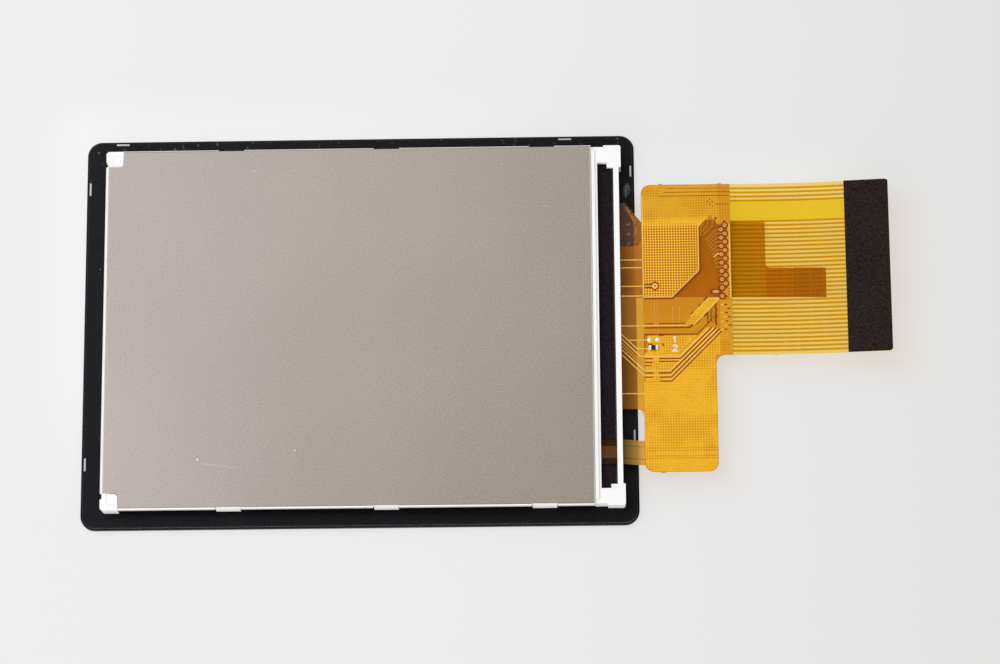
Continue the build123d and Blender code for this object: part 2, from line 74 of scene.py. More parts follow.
# Levels and edges from the frame, in metres
BOARD_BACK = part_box("solder_pads")[0].z
TOUCH_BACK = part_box("touch_flex")[1].z
PLATE_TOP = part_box("back_plate")[1].z
TAIL_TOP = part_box("contact_stiffener")[1].y
TAIL_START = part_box("tail_conductors")[0].x
COVER_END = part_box("cover_lens")[1].x
BOARD_SETBACK = 0.70 * MM
BOARD_LEFT = COVER_END + BOARD_SETBACK
RAIL_SETBACK = 0.60 * MM
RAIL_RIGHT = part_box("backlight_frame")[1].x - RAIL_SETBACK
TOUCH_TAIL = 3.25 * MM
TOUCH_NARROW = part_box("touch_stiffener")[0].x - TOUCH_TAIL

# Copper pours of the board in millimetres: x, lower edge and upper edge at each knot
HATCHED_POURS = [
    [
        (32.95, 3.26, 15.75), (33.09, 3.26, 16.27), (33.48, 3.26, 16.66), (34.00, 3.26, 16.80),
        (36.35, 3.26, 16.80), (39.57, 6.46, 16.80), (39.58, 11.65, 16.80), (40.35, 12.55, 16.80),
        (41.50, 12.55, 16.80), (41.78, 11.95, 16.80), (42.84, 11.95, 16.80), (42.85, 12.55, 16.80),
        (43.27, 12.55, 16.80),
    ],
    [(33.10, -3.50, -1.30), (36.95, -3.50, -1.30), (39.10, -1.38, -1.30)],
    [
        (33.10, -6.72, -3.50), (36.15, -6.72, -3.50), (37.05, -5.85, -3.50), (40.25, -2.65, -0.36),
        (41.20, -1.70, -0.36),
    ],
    [
        (37.72, -0.05, 0.06), (38.72, -0.05, 1.07), (40.58, 1.76, 3.10), (41.70, 2.90, 3.10),
        (41.90, 2.95, 3.10),
    ],
    [
        (32.95, -16.25, -6.75), (33.09, -16.77, -6.75), (33.48, -17.16, -6.75), (34.00, -17.30, -6.75),
        (36.15, -17.30, -6.75), (40.25, -17.30, -2.65), (40.78, -17.16, -2.12), (41.16, -16.77, -1.74),
        (41.30, -16.25, -1.60),
    ],
    [(41.30, -3.60, -1.60), (41.90, -3.60, -1.00), (41.91, -3.60, 2.90), (43.27, -3.60, 2.90)],
    [(42.25, 3.80, 3.90), (42.84, 3.30, 4.35), (42.85, 2.95, 12.52), (43.27, 2.95, 12.52)],
]
POUR_BORDER = [(33.05, 15.6), (33.05, 3.33), (36.32, 3.33), (39.50, 6.49), (39.50, 11.68), (40.30, 12.62)]

# Routes of the bright traces on the neck and the board in millimetres
TRACE_ROUTES = [
    [(30.45, 7.80), (33.10, 7.80)],
    [(30.45, 6.86), (33.10, 6.86)],
    [(30.45, 4.64), (34.05, 4.64)],
    [(30.45, 3.47), (33.10, 3.47)],
    [(30.40, -0.10), (38.10, -0.10)],
    [(31.15, -1.80), (33.50, -1.80)],
    [(30.42, -1.10), (32.19, -2.82), (33.55, -2.82)],
    [(30.42, -1.62), (32.55, -3.72), (37.15, -3.75), (40.45, -0.55)],
    [(30.42, -2.92), (32.91, -5.30), (33.10, -5.42), (35.95, -5.44), (41.10, -0.45)],
    [(30.42, -3.52), (32.97, -5.98), (36.00, -6.00), (41.60, -0.45)],
    [(35.20, -6.46), (36.10, -6.46), (41.85, -0.75)],
    [(30.30, -8.13), (33.05, -8.13)],
    [(43.14, 12.00), (43.14, 3.10)],
    [(38.45, 0.93), (40.56, 3.11), (41.80, 3.09)],
    [(38.80, -0.07), (41.68, 2.92)],
    [(42.00, 8.40), (41.73, 8.45), (41.30, 8.02)],
]

# Traces of the other side that show faintly through the film, in millimetres
FAINT_ROUTES = [
    [(34.30, 3.20), (34.30, -1.30)],
    [(34.62, 3.20), (34.62, -1.30)],
    [(36.40, 2.20), (36.40, -0.30)],
    [(37.15, 2.20), (37.15, -0.30)],
    [(30.42, -2.08), (33.05, -4.70)],
    [(30.42, -2.48), (33.05, -5.08)],
]

# Gaps cut through the copper in millimetres: route and width
GAP_ROUTES = [
    ([(33.05, 3.13), (36.42, 3.13), (39.72, 6.40), (39.72, 11.60), (40.45, 12.42)], 0.16),
    ([(40.84, 12.52), (40.84, 13.05)], 0.12),
    ([(41.08, 12.56), (41.06, 13.00)], 0.10),
    ([(41.58, 12.50), (41.58, 12.86)], 0.24),
    ([(42.45, 12.36), (42.70, 12.36)], 0.20),
    ([(40.62, 14.72), (40.78, 14.72)], 0.16),
    ([(41.16, 14.72), (41.32, 14.72)], 0.16),
    ([(40.90, 15.04), (41.04, 15.04)], 0.14),
    ([(40.90, 14.40), (41.04, 14.40)], 0.16),
    ([(41.22, 14.18), (41.36, 14.18)], 0.12),
    ([(41.60, 14.42), (43.10, 14.42)], 0.06),
    ([(33.15, 4.64), (34.00, 4.64)], 0.52),
    ([(33.20, 0.13), (34.15, 0.13)], 0.12),
    ([(34.80, 0.13), (37.90, 0.13)], 0.12),
    ([(33.10, -0.36), (38.30, -0.36), (38.75, 0.02)], 0.16),
    ([(39.02, -0.02), (39.62, 0.60)], 0.10),
    ([(40.04, 0.97), (40.45, 1.43)], 0.20),
    ([(40.45, 1.40), (40.42, 0.12)], 0.13),
    ([(40.84, 1.83), (40.81, 0.42)], 0.12),
    ([
        (41.40, 2.46), (41.32, 2.05), (41.46, 1.75), (41.34, 1.35), (41.46, 0.95), (41.34, 0.55),
        (41.44, -0.15),
    ], 0.22),
    ([(40.42, 3.30), (40.02, 2.86)], 0.18),
    ([(39.62, 2.40), (39.42, 2.20)], 0.12),
    ([(38.72, 1.48), (38.50, 1.24)], 0.13),
    ([(33.10, -1.12), (39.20, -1.15), (41.40, 1.05)], 0.13),
    ([(33.12, -1.12), (33.12, -3.30)], 0.13),
    ([(33.33, -1.12), (33.33, -3.30)], 0.10),
    ([(33.45, -2.32), (33.98, -2.32)], 0.18),
    ([(34.72, -1.24), (35.30, -1.24)], 0.18),
    ([(35.12, -2.22), (35.30, -2.55)], 0.20),
    ([(33.10, -4.02), (33.98, -4.02)], 0.17),
    ([(33.10, -4.45), (33.98, -4.45)], 0.17),
    ([(33.10, -4.86), (33.90, -4.86)], 0.14),
    ([(34.72, -4.02), (37.22, -4.02), (40.90, -0.36)], 0.17),
    ([(34.72, -4.36), (37.00, -4.36)], 0.15),
    ([(33.10, -5.73), (34.02, -5.73)], 0.17),
    ([(34.68, -5.73), (36.04, -5.73), (41.40, -0.40)], 0.17),
    ([(33.10, -6.22), (33.98, -6.22)], 0.15),
    ([(34.74, -6.23), (36.10, -6.23), (41.80, -0.55)], 0.16),
    ([(34.80, -6.69), (36.16, -6.69), (42.00, -0.86)], 0.15),
    ([(36.00, 16.36), (43.25, 16.36)], 0.06),
    ([(35.60, 15.92), (43.25, 15.92)], 0.08),
    ([(35.10, 15.45), (43.25, 15.45)], 0.08),
]

# Small marks in the copper in millimetres
DASH_MIDDLES = [
    (42.53, 2.34), (42.91, 1.84), (42.62, 1.35), (42.94, 0.84), (42.66, 0.36), (43.00, -0.15),
    (42.50, -0.62),
]
DASH_SIZE = (0.34, 0.17)
DOT_MIDDLES = [(42.97, 4.22), (42.97, 3.88), (42.97, 3.56), (42.96, 3.28)]
DOT_SIZE = (0.15, 0.14)
PALE_MIDDLES = [(42.15, 2.34), (42.13, 1.39), (42.45, 0.85), (42.08, 0.34), (42.50, -0.16), (42.10, -0.61)]
PALE_LENGTH = 0.30
OVAL = {"middle": (41.44, 3.88), "stretch": 2.2, "radius": 0.19, "gap": 0.32}
KEYHOLE = (34.37, 4.64)
KEYHOLE_RADII = {"dot": 0.02, "hole": 0.10, "copper": 0.34, "gap": 0.52}

# Vias beside the tail and the traces that fan out from them in millimetres
VIA_RADII = {"dot": 0.01, "hole": 0.07, "pale": 0.23, "copper": 0.26, "gap": 0.43}
# Heights of the fan-out as shares of a gap's height, apart so that no two tops coincide
FANOUT_LEVELS = {"ground": 0.9, "stagger": 0.06, "lane": 1.1, "oval": 1.12}
FANOUT_EDGE = [
    (39.74, 11.40), (39.92, 11.10), (40.07, 10.70), (40.26, 10.20), (40.50, 9.80), (40.75, 9.02),
    (40.92, 8.65), (41.18, 8.08), (41.26, 7.58), (41.43, 7.15), (41.55, 6.60), (41.82, 6.35),
    (41.95, 4.60), (42.00, 3.60),
]
FANOUT_FOOT = [(42.30, 3.80), (42.88, 4.55)]
FANOUT_TOP = [(39.74, 11.75), (40.50, 12.52), (41.45, 12.52), (41.82, 11.90), (42.88, 11.95)]
FANOUT_START = 41.60
FANOUT_LANE = 0.13
FANOUT_REACH = np.linspace(0.1, 3.0, 59)
FANOUT_ROUTES = [
    [(39.80, 10.63), (39.81, 11.68), (40.38, 12.26)],
    [(39.93, 11.14), (40.63, 11.85), (40.63, 12.70)],
    [(40.09, 10.72), (41.17, 11.77), (41.22, 12.75)],
    [(40.64, 1.66), (40.60, 0.34)],
    [(41.02, 2.03), (40.98, 0.12)],
]
VIA_COLUMNS = (42.62, 42.18)
VIA_MISSING = 16
VIA_FIRST = 5.0

# Bond of the touch flex circuit in millimetres
BOND_EDGE = 32.12
BOND_PADS = {"left": 30.50, "right": 31.02, "width": 0.26, "top": 14.60, "pitch": 0.5, "count": 11}
BOND_RINGS = [(31.39, 12.40), (31.37, 11.22), (31.36, 10.05)]
BOND_RING_RADII = (0.13, 0.20)
BOND_RING_TURN = (-0.46, 0.10)
BOND_EDGE_LINE = [(31.05, 14.50), (32.20, 12.55), (32.24, 9.55)]
BOND_EDGE_WIDTH = 0.30

# Strokes of two plain numerals beside the resistor in millimetres
NUMERAL_STROKES = [
    [(36.38, -1.62), (36.58, -1.48), (36.58, -2.14)],
    [(36.34, -2.60), (36.46, -2.46), (36.74, -2.46), (36.85, -2.60), (36.36, -3.12), (36.90, -3.12)],
]
NUMERAL_STROKE = 0.14

# Marks of use on the back plate in millimetres: x, y and radius of a speck, and the ends of a scratch
PLATE_SPECKS = [(-18.47, -15.62, 0.13), (-7.29, -14.68, 0.11), (-12.23, 18.66, 0.08), (21.90, 14.05, 0.08)]
PLATE_SCRATCH = {"start": (-18.00, -16.10), "end": (-13.80, -16.62), "width": 0.05}

# Boxes round which the floor takes painted shade and light from the part in millimetres: middle x, middle y,
# half sizes. Round the board and the tail it is a painted warm shadow with painted light above them, round
# the cover painted light
BOARD_SHADOW_AND_LIGHT = (37.6, -1.0, 4.2, 16.6)
TAIL_SHADOW_AND_LIGHT = (53.0, 5.8, 10.5, 9.8)
COVER_GLOW = (0.0, 0.0, 32.2, 23.25)

# Painted shade line of a ledge on the small posts in millimetres, the same at both: its corner, and the far
# ends of its two lines
POST_LEDGE_SHADE = {"corner": (-28.87, 20.73), "ends": (-27.40, 19.30)}

# Shadings of the finishes in millimetres: none at the first place, all at the second. The cover's rim
# counts from its outline, and the tail's band from the tail's top edge.
# Band at the cover's edge that carries the painted reflection of the black border
COVER_RIM = (-0.22, -0.16)
RUBBED_Y = (14.0, 22.0)
# Painted shade towards the plate's lower right, and painted light towards its lower left
PLATE_SHADE_X = (-20.0, 25.0)
PLATE_SHADE_Y = (15.0, -20.0)
PLATE_PAINTED_LIGHT_X = (-6.0, -28.0)
PLATE_PAINTED_LIGHT_Y = (8.0, -20.0)
# Painted warmer light across the plate towards the connector
PLATE_WARM_LIGHT_X = (-32.0, 28.0)
# Painted light on the moulding, growing towards the right
MOULDING_LIGHT_X = (-26.0, 26.0)
TAIL_BAND_LOW = (-4.42, -4.36)
TAIL_BAND_HIGH = (-2.10, -2.16)
# Painted shadow strip across the board's film
BOARD_SHADOW_LOW = (-0.6, 2.8)
BOARD_SHADOW_HIGH = (3.4, 3.0)
NECK_BRIGHT_LOW = (-4.0, -1.0)
NECK_BRIGHT_HIGH = (4.0, 3.0)
HATCH_LOW = (2.8, 3.0)
HATCH_HIGH = (12.6, 11.4)
HATCH_RIGHT = (40.0, 39.5)
# Where the copper blends darker: towards the tail's root, the top and the right of the clear hatch
DARKENING_ROOT_X = (41.7, 42.0)
DARKENING_TOP_Y = (12.4, 13.2)
DARKENING_HATCH_X = (36.0, 39.4)
FLOOR_FADE_X = (-40.0, 160.0)
FLOOR_ABOVE_Y = (14.5, 17.0)
# Painted shadow below the tail's raised end
FLOOR_TAIL_SHADOW_X = (50.0, 60.0)
FLOOR_TAIL_SHADOW_Y = (2.0, -4.0)
# Painted light on the floor beside the cover, most at its upper left, and above the flex circuit
FLOOR_LIGHT_X = (34.0, -10.0)
FLOOR_LIGHT_Y = (-24.0, 0.0)
FLOOR_LIGHT_ABOVE_X = (64.0, 50.0)

# Rows of deeper hatch in millimetres: middle y, where each ends and where it is full
HATCH_BANDS = [(-14.7, 0.5, 0.2), (-15.6, 0.4, 0.15)]
# Inset of the painted highlight line on the touch film from the cover's outline in millimetres
SENSOR_HIGHLIGHT_INSET = 0.27

# Stage in metres, and the camera's sensor in millimetres
FLOOR_HALF = 1.5
FLOOR_DROP = 0.02 * MM
CAMERA_SENSOR = 36.0
CAMERA_NEAR = 0.01


def arithmetic(operation, swapped=False):
    """Method that adds a Math node for a value and one other number, in this order or swapped."""

    def method(self, other=0.0):
        pair = (other, self) if swapped else (self, other)
        return self.paint.math(operation, *pair)

    return method


class Value:
    """A number in a material's nodes: arithmetic on it adds Math nodes."""

    __add__ = arithmetic("ADD")
    __radd__ = arithmetic("ADD", True)
    __sub__ = arithmetic("SUBTRACT")
    __rsub__ = arithmetic("SUBTRACT", True)
    __mul__ = arithmetic("MULTIPLY")
    __rmul__ = arithmetic("MULTIPLY", True)
    __truediv__ = arithmetic("DIVIDE")
    __abs__ = arithmetic("ABSOLUTE")

    def __init__(self, paint, socket):
        self.paint = paint
        self.socket = socket


class Paint:
    """One material in the making: adds its nodes and reads the surface's own position."""

    def __init__(self, name):
        self.material = bpy.data.materials.new(name)
        self.material.use_nodes = True
        self.tree = self.material.node_tree
        self.tree.nodes.clear()
        self.spot = None

    def node(self, kind, settings=None, sockets=None):
        """Adds a node: its settings go in first, then the values or links of its sockets."""
        made = self.tree.nodes.new("ShaderNode" + kind)
        for key, value in (settings or {}).items():
            setattr(made, key, value)
        for key, value in (sockets or {}).items():
            source = getattr(value, "socket", value)
            if isinstance(source, bpy.types.NodeSocket):
                self.tree.links.new(source, made.inputs[key])
            else:
                made.inputs[key].default_value = value
        return made

    def math(self, operation, *values):
        """Number that a Math node works out."""
        made = self.node("Math", {"operation": operation}, dict(enumerate(values)))
        return Value(self, made.outputs[0])

    def position(self):
        """Position of the surface point in millimetres, as a vector socket."""
        if self.spot is None:
            place = self.node("TexCoord").outputs["Object"]
            scaled = self.node("VectorMath", {"operation": "SCALE"}, {0: place, "Scale": 1 / MM})
            self.spot = scaled.outputs[0]
        return self.spot

    def axes(self):
        """Position of the surface point in millimetres, as three numbers."""
        split = self.node("SeparateXYZ", None, {0: self.position()})
        return [Value(self, output) for output in split.outputs]

    def noise(self, size, detail=2.0, stretch=(1.0, 1.0, 1.0)):
        """Cloudy noise from 0 to 1 whose blotches are about the given size in millimetres."""
        place = self.node("VectorMath", {"operation": "MULTIPLY"}, {0: self.position(), 1: stretch})
        sockets = {"Vector": place.outputs[0], "Scale": 1 / size, "Detail": detail}
        return Value(self, self.node("TexNoise", None, sockets).outputs[0])

    def specks(self, spacing, radius):
        """Small scattered dots: 1 within the radius of points that lie about the spacing apart."""
        made = self.node("TexVoronoi", None, {"Vector": self.position(), "Scale": 1 / spacing})
        away = Value(self, made.outputs["Distance"]) * spacing
        return self.step(away, radius, radius / 2)

    def step(self, value, low, high):
        """Smooth step: 0 at the low value and 1 at the high one. High may be the lower of the two."""
        settings = {"interpolation_type": "SMOOTHSTEP"}
        return Value(self, self.node("MapRange", settings, {0: value, 1: low, 2: high}).outputs[0])

    def wave(self, value, pitch):
        """Triangle wave from 0 at each multiple of the pitch to 1 half way between two of them."""
        return self.math("PINGPONG", value, pitch / 2) / (pitch / 2)

    def length(self, x, y):
        """Length of a plane vector."""
        return self.math("SQRT", x * x + y * y)

    def glance(self):
        """Share of the light that clear glass throws back, which grows towards a flat view."""
        return Value(self, self.node("Fresnel", None, {"IOR": GLASS_INDEX}).outputs[0])

    def blend(self, factor, first, second):
        """Colour between two colours, as a socket."""
        made = self.node("Mix", {"data_type": "RGBA"}, {0: factor, 6: rgba(first), 7: rgba(second)})
        return made.outputs[2]

    def shades(self, factor, colour, low, high):
        """Colour between two shades of one colour, as a socket."""
        return self.blend(factor, shade(colour, low), shade(colour, high))

    def surface(self, base, roughness, gloss=PLAIN_GLOSS, height=None, depth=0.0, metallic=0.0):
        """Shader of a surface, bumped by its height times a depth in millimetres if it has one."""
        sockets = {
            "Base Color": rgba(base),
            "Roughness": roughness,
            "Specular IOR Level": gloss,
            "Metallic": metallic,
        }
        if height is not None:
            bump = {"Strength": 1.0, "Distance": depth * MM, "Height": height}
            sockets["Normal"] = self.node("Bump", None, bump).outputs[0]
        return self.node("BsdfPrincipled", None, sockets).outputs[0]

    def mix(self, factor, first, second):
        """Shader between two shaders."""
        return self.node("MixShader", None, {0: factor, 1: first, 2: second}).outputs[0]

    def see_through(self, tint, factor, shader):
        """Surface that shows what is behind it in one tint, covered by a shader where the factor is 1."""
        clear = self.node("BsdfTransparent", None, {0: rgba(tint)}).outputs[0]
        return self.mix(factor, clear, shader)

    def done(self, shader):
        """The material, once a shader is its surface."""
        self.node("OutputMaterial", None, {"Surface": shader})
        return self.material


def rgba(colour):
    """Colour with full cover, as a colour socket takes it. A socket stays as it is."""
    if isinstance(colour, bpy.types.NodeSocket):
        return colour
    return (*colour, 1.0)


def shade(colour, factor):
    """The same colour, darker or lighter by a factor."""
    return tuple(min(1.0, part * factor) for part in colour)


def fine_finish(name, colour, roughness, grain=0.12, depth=0.004, spread=0.12, speckle=0.5, metallic=0.0,
                gloss=SOFT_GLOSS):
    """Plain finish: a faint cloud and specks in its colour, a fine grain in its gloss and a slight bump."""
    paint = Paint(name)
    cloud = paint.noise(grain * 40, 3.0)
    fine = paint.noise(grain, 3.0)
    tone = (cloud - 0.5) * 0.8 + (fine - 0.5) * speckle + 0.5
    base = paint.shades(tone, colour, 1 - spread, 1 + spread)
    return paint.done(paint.surface(base, roughness + (fine - 0.5) * 0.2, gloss, fine, depth, metallic))


def clear_finish(name, tint, cover, roughness):
    """Clear layer: a tinted view through it under a thin gloss that grows towards its edges."""
    paint = Paint(name)
    smear = paint.noise(6.0, 2.0)
    shell = paint.surface(tint, roughness + (smear - 0.5) * 0.04)
    return paint.done(paint.see_through(tint, paint.glance() * 0.9 + cover, shell))


def edge_distance(paint, corner_radius):
    """Distance of a point outside the cover's rounded outline in millimetres, negative inside it."""
    x, y, z = paint.axes()
    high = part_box("cover_lens")[1]
    beyond_x = paint.math("MAXIMUM", abs(x) - (high.x / MM - corner_radius), 0.0)
    beyond_y = paint.math("MAXIMUM", abs(y) - (high.y / MM - corner_radius), 0.0)
    return paint.length(beyond_x, beyond_y) - corner_radius


def cover_finish(name, look):
    """Cover glass: clear, with a rim painted black as the reflection of the black border in the glass edge.
    """
    paint = Paint(name)
    # Painted reflection: the rim next to the outline takes the black that the glass edge reflects from the
    # border
    rim = paint.step(edge_distance(paint, look.corner_radius / MM), *COVER_RIM)
    smear = paint.noise(6.0, 2.0)
    base = paint.blend(rim, look.glass_tint, look.rim_reflection_black)
    shell = paint.surface(base, 0.06 + (smear - 0.5) * 0.04 + rim * 0.3, DULL_GLOSS)
    cover = paint.glance() * 0.9 + 0.05 + rim * 0.9
    return paint.done(paint.see_through(look.glass_tint, cover, shell))


def sensor_finish(name, look):
    """Touch film: clear over the display's window, dark satin with dust and a painted highlight line along
    its edge over the print.
    """
    paint = Paint(name)
    x, y, z = paint.axes()
    low, high = (Vector(corner) / MM for corner in (look.window_low, look.window_high))
    inside = paint.step(x, low.x, low.x + 0.02) * paint.step(x, high.x, high.x - 0.02)
    inside = inside * paint.step(y, low.y, low.y + 0.02) * paint.step(y, high.y, high.y - 0.02)
    away = edge_distance(paint, look.corner_radius / MM)
    # Painted highlight: a faint pale line along the touch film's edge
    edge = paint.step(abs(away + SENSOR_HIGHLIGHT_INSET), 0.07, 0.02) * paint.noise(2.0)
    dust = paint.specks(2.4, 0.09) * paint.step(paint.noise(2.5), 0.54, 0.60)
    rubbed = paint.step(paint.noise(0.45, 3.0, (1.0, 0.6, 1.0)), 0.62, 0.78) * paint.step(y, *RUBBED_Y)
    haze = paint.noise(3.0, 4.0)
    fine = paint.noise(0.24, 2.0)
    tone = haze * 0.6 + (fine - 0.5) * 4.0 + 0.2
    base = paint.shades(tone, look.border_black, 0.4, 1.7)
    # Dust and rubbed wear are marks of use, and the edge line is a painted highlight
    base = paint.blend(edge * 0.04 + dust * 0.7 + rubbed * 0.2, base, DUST_WEAR_AND_HIGHLIGHT_GREY)
    shell = paint.surface(base, 0.42 + (haze - 0.5) * 0.25, DULL_GLOSS, fine, 0.0015)
    return paint.done(paint.see_through(WINDOW_TINT, 1 - inside * 0.94, shell))


def plate_finish(name, look):
    """Rolled sheet: speckled grain, soft clouds, painted shade and light, painted warmer light towards the
    connector, painted highlights on its folds and ends, one scratch and a few specks.
    """
    paint = Paint(name)
    x, y, z = paint.axes()
    grain = paint.noise(0.17, 3.0)
    cloud = paint.noise(14.0, 3.0)
    # Painted shade towards the lower right, less the painted light towards the lower left
    dark = paint.step(x, *PLATE_SHADE_X) * paint.step(y, *PLATE_SHADE_Y) * 0.10
    dark = dark - paint.step(x, *PLATE_PAINTED_LIGHT_X) * paint.step(y, *PLATE_PAINTED_LIGHT_Y) * 0.17
    tone = (grain - 0.5) * 1.5 + (cloud - 0.5) * 0.25 + 0.5 - dark
    # Painted warmer light: the sheet's colour turns warmer towards the connector
    side = paint.step(x, *PLATE_WARM_LIGHT_X)
    pairs = [(shade(look.plate_grey, factor), shade(look.plate_warm_light, factor)) for factor in (0.70, 1.30)]
    low, high = (paint.blend(side, *pair) for pair in pairs)
    # Painted highlight on the folded edges below the plate's top face
    fold_highlight = paint.step(z, PLATE_TOP / MM - 0.015, PLATE_TOP / MM - 0.06)
    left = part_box("back_plate")[0].x / MM
    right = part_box("back_plate")[1].x / MM
    # Painted highlight along the plate's left and right ends
    end_highlight = paint.step(x, left + 0.45, left + 0.10) * 0.7 + paint.step(x, right - 0.14, right - 0.02) * 0.6
    base = paint.blend(paint.math("MAXIMUM", fold_highlight, end_highlight), paint.blend(tone, low, high), look.fold_highlight_white)
    mark = plate_scratch(paint, x, y) * 0.20
    for place_x, place_y, radius in PLATE_SPECKS:
        mark = mark + paint.step(paint.length(x - place_x, y - place_y), radius, radius / 2) * 0.8
    base = paint.blend(paint.math("MINIMUM", mark, 1.0), base, MARK_PALE)
    roughness = 0.44 + (grain - 0.5) * 0.2 - fold_highlight * 0.08
    return paint.done(paint.surface(base, roughness, PLAIN_GLOSS, grain, 0.003, 0.82 - fold_highlight * 0.5))


def moulding_finish(name, white):
    """White moulding with a fine grain, painted light that grows towards the right, and a faint painted
    shade line of a ledge round the outer corner of each small post.
    """
    paint = Paint(name)
    x, y, z = paint.axes()
    fine = paint.noise(0.25, 3.0)
    (ledge_x, ledge_y), (far_x, near_y) = POST_LEDGE_SHADE["corner"], POST_LEDGE_SHADE["ends"]
    upright_shade = paint.step(abs(x - ledge_x), 0.10, 0.03) * paint.step(abs(y), near_y, near_y + 0.1)
    upright_shade = upright_shade * paint.step(abs(y), ledge_y + 0.08, ledge_y)
    level = paint.step(abs(abs(y) - ledge_y), 0.10, 0.03) * paint.step(x, ledge_x - 0.08, ledge_x)
    level = level * paint.step(x, far_x, far_x - 0.1)
    # Painted light: the moulding turns lighter towards the right
    pale = paint.shades(paint.step(x, *MOULDING_LIGHT_X), white, 1.02, 1.06)
    base = paint.blend(fine, shade(white, 0.98), pale)
    # Painted shade: a grey line where a ledge round each post's outer corner would be shaded
    base = paint.blend(paint.math("MAXIMUM", upright_shade, level) * 0.3, base, shade(white, 0.6))
    return paint.done(paint.surface(base, 0.42 + (fine - 0.5) * 0.2, SOFT_GLOSS, fine, 0.006))


def plate_scratch(paint, x, y):
    """Thin wavering line between the scratch's two ends."""
    (start_x, start_y), (end_x, end_y) = PLATE_SCRATCH["start"], PLATE_SCRATCH["end"]
    slope = (end_y - start_y) / (end_x - start_x)
    middle = (x - start_x) * slope + start_y + (paint.noise(1.5) - 0.5) * 0.3
    along = paint.step(x, start_x - 0.3, start_x + 0.3) * paint.step(x, end_x + 0.3, end_x - 0.4)
    width = PLATE_SCRATCH["width"]
    return paint.step(abs(y - middle), 2 * width, width / 2) * along * paint.noise(0.4)


def film_shader(paint, tint, amber, cover):
    """Amber film: shows what is behind it in its tint, under a thin cover of its own colour."""
    cloud = paint.noise(2.5, 3.0)
    fine = paint.noise(0.12, 2.0)
    tone = (cloud - 0.5) * 0.9 + (fine - 0.5) * 0.9 + 0.5
    base = paint.shades(tone, amber, 0.85, 1.15)
    shell = paint.surface(base, 0.34 + (fine - 0.5) * 0.15, SOFT_GLOSS, fine, 0.002)
    return paint.see_through(tint, cover, shell)


def main_film_finish(name, look):
    """Main film: thick on the board with a painted shadow strip across it, thinner on the neck and the tail,
    deeper in the tail's plain band.
    """
    paint = Paint(name)
    x, y, z = paint.axes()
    edge = TAIL_START / MM
    below = y - TAIL_TOP / MM
    start = BOARD_LEFT / MM
    neck = paint.step(x, start + 0.10, start)
    board = paint.step(x, edge + 0.05, edge - 0.05)
    band = paint.step(below, *TAIL_BAND_LOW) * paint.step(below, *TAIL_BAND_HIGH)
    thin = film_shader(paint, look.tail_tint, look.tail_amber, 0.11)
    deep = film_shader(paint, look.band_tint, look.tail_amber, 0.15)
    # Painted shadow: the film's own darker amber covers more in a strip across the board from about y 0 to 3
    # mm
    middle = paint.step(y, *BOARD_SHADOW_LOW) * paint.step(y, *BOARD_SHADOW_HIGH)
    thick = film_shader(paint, look.board_tint, look.film_amber, 0.30 + middle * 0.12)
    rise = paint.step(x, start - 2.5, start + 0.1)
    bright = paint.step(y, *NECK_BRIGHT_LOW) * paint.step(y, *NECK_BRIGHT_HIGH) * (1 - rise)
    slim = film_shader(paint, look.neck_tint, look.neck_amber, 0.16 + rise * rise * 0.20 + bright * 0.16)
    return paint.done(paint.mix(board, paint.mix(band, thin, deep), paint.mix(neck, thick, slim)))


def touch_film_finish(name, look):
    """Touch circuit: bare film at its bond, filled with copper beyond, redder along its narrow tail."""
    paint = Paint(name)
    x, y, z = paint.axes()
    narrow = paint.step(x, TOUCH_NARROW / MM - 0.05, TOUCH_NARROW / MM + 0.05)
    bond = paint.step(x, BOND_EDGE + 0.08, BOND_EDGE - 0.08)
    cloud = paint.noise(1.2, 3.0)
    tone = paint.blend(narrow, look.touch_brown, look.touch_red)
    beside = paint.step(x, BOARD_LEFT / MM + 0.1, BOARD_LEFT / MM - 0.1)
    spotted = paint.blend(paint.specks(0.5, 0.13) * 0.7, look.bond_orange, look.copper_gap)
    tone = paint.blend(beside, tone, spotted)
    base = paint.blend(cloud * 0.25, tone, shade(look.touch_brown, 0.6))
    fine = paint.noise(0.12, 2.0)
    shell = paint.surface(base, 0.34 + (cloud - 0.5) * 0.15, SOFT_GLOSS, fine, 0.002)
    filled = paint.see_through(look.board_tint, 0.8, shell)
    bare = film_shader(paint, look.neck_tint, look.bond_brown, 0.18)
    return paint.done(paint.mix(bond, filled, bare))


def light_film_finish(name, look):
    """Tab of the light circuit: a copper band along its middle with painted shade in its edge grooves,
    darker where it crosses the slot, from the black tape behind it and from painted shade of the rails, and
    painted shade and light beside the frame.
    """
    paint = Paint(name)
    x, y, z = paint.axes()
    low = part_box("lcd_flex")[0]
    away = abs(y - (low.y / MM + look.tab_inset / MM))
    half = look.tab_band / MM / 2
    band = paint.step(away, half + 0.04, half - 0.04)
    # Painted shade in the grooves along the copper band's edges
    groove_shade = paint.step(abs(away - half), 0.07, 0.02)
    # In the slot the tab is darker: the black tape shows through it, and its copper colour holds painted
    # shade from the rails
    slot = paint.step(x, RAIL_RIGHT / MM + 0.1, RAIL_RIGHT / MM - 0.1)
    fine = paint.noise(0.15, 3.0)
    # Painted shade and light: beside the frame the tab is dark next to the rail and grows lighter towards
    # the board
    rail_shade_to_light = paint.step(x, RAIL_RIGHT / MM + 0.2, BOARD_LEFT / MM + 0.3)
    outside = paint.shades(rail_shade_to_light, look.tab_film, 0.5, 1.9)
    inside = paint.shades(band, look.tab_copper, 0.24, 1.0)
    tone = paint.blend(slot, outside, inside)
    base = paint.blend(groove_shade * 0.5, tone, shade(look.tab_copper, 0.15))
    shell = paint.surface(base, 0.36 + (fine - 0.5) * 0.2, DULL_GLOSS, fine, 0.003)
    return paint.done(paint.see_through(look.neck_tint, 0.6, shell))


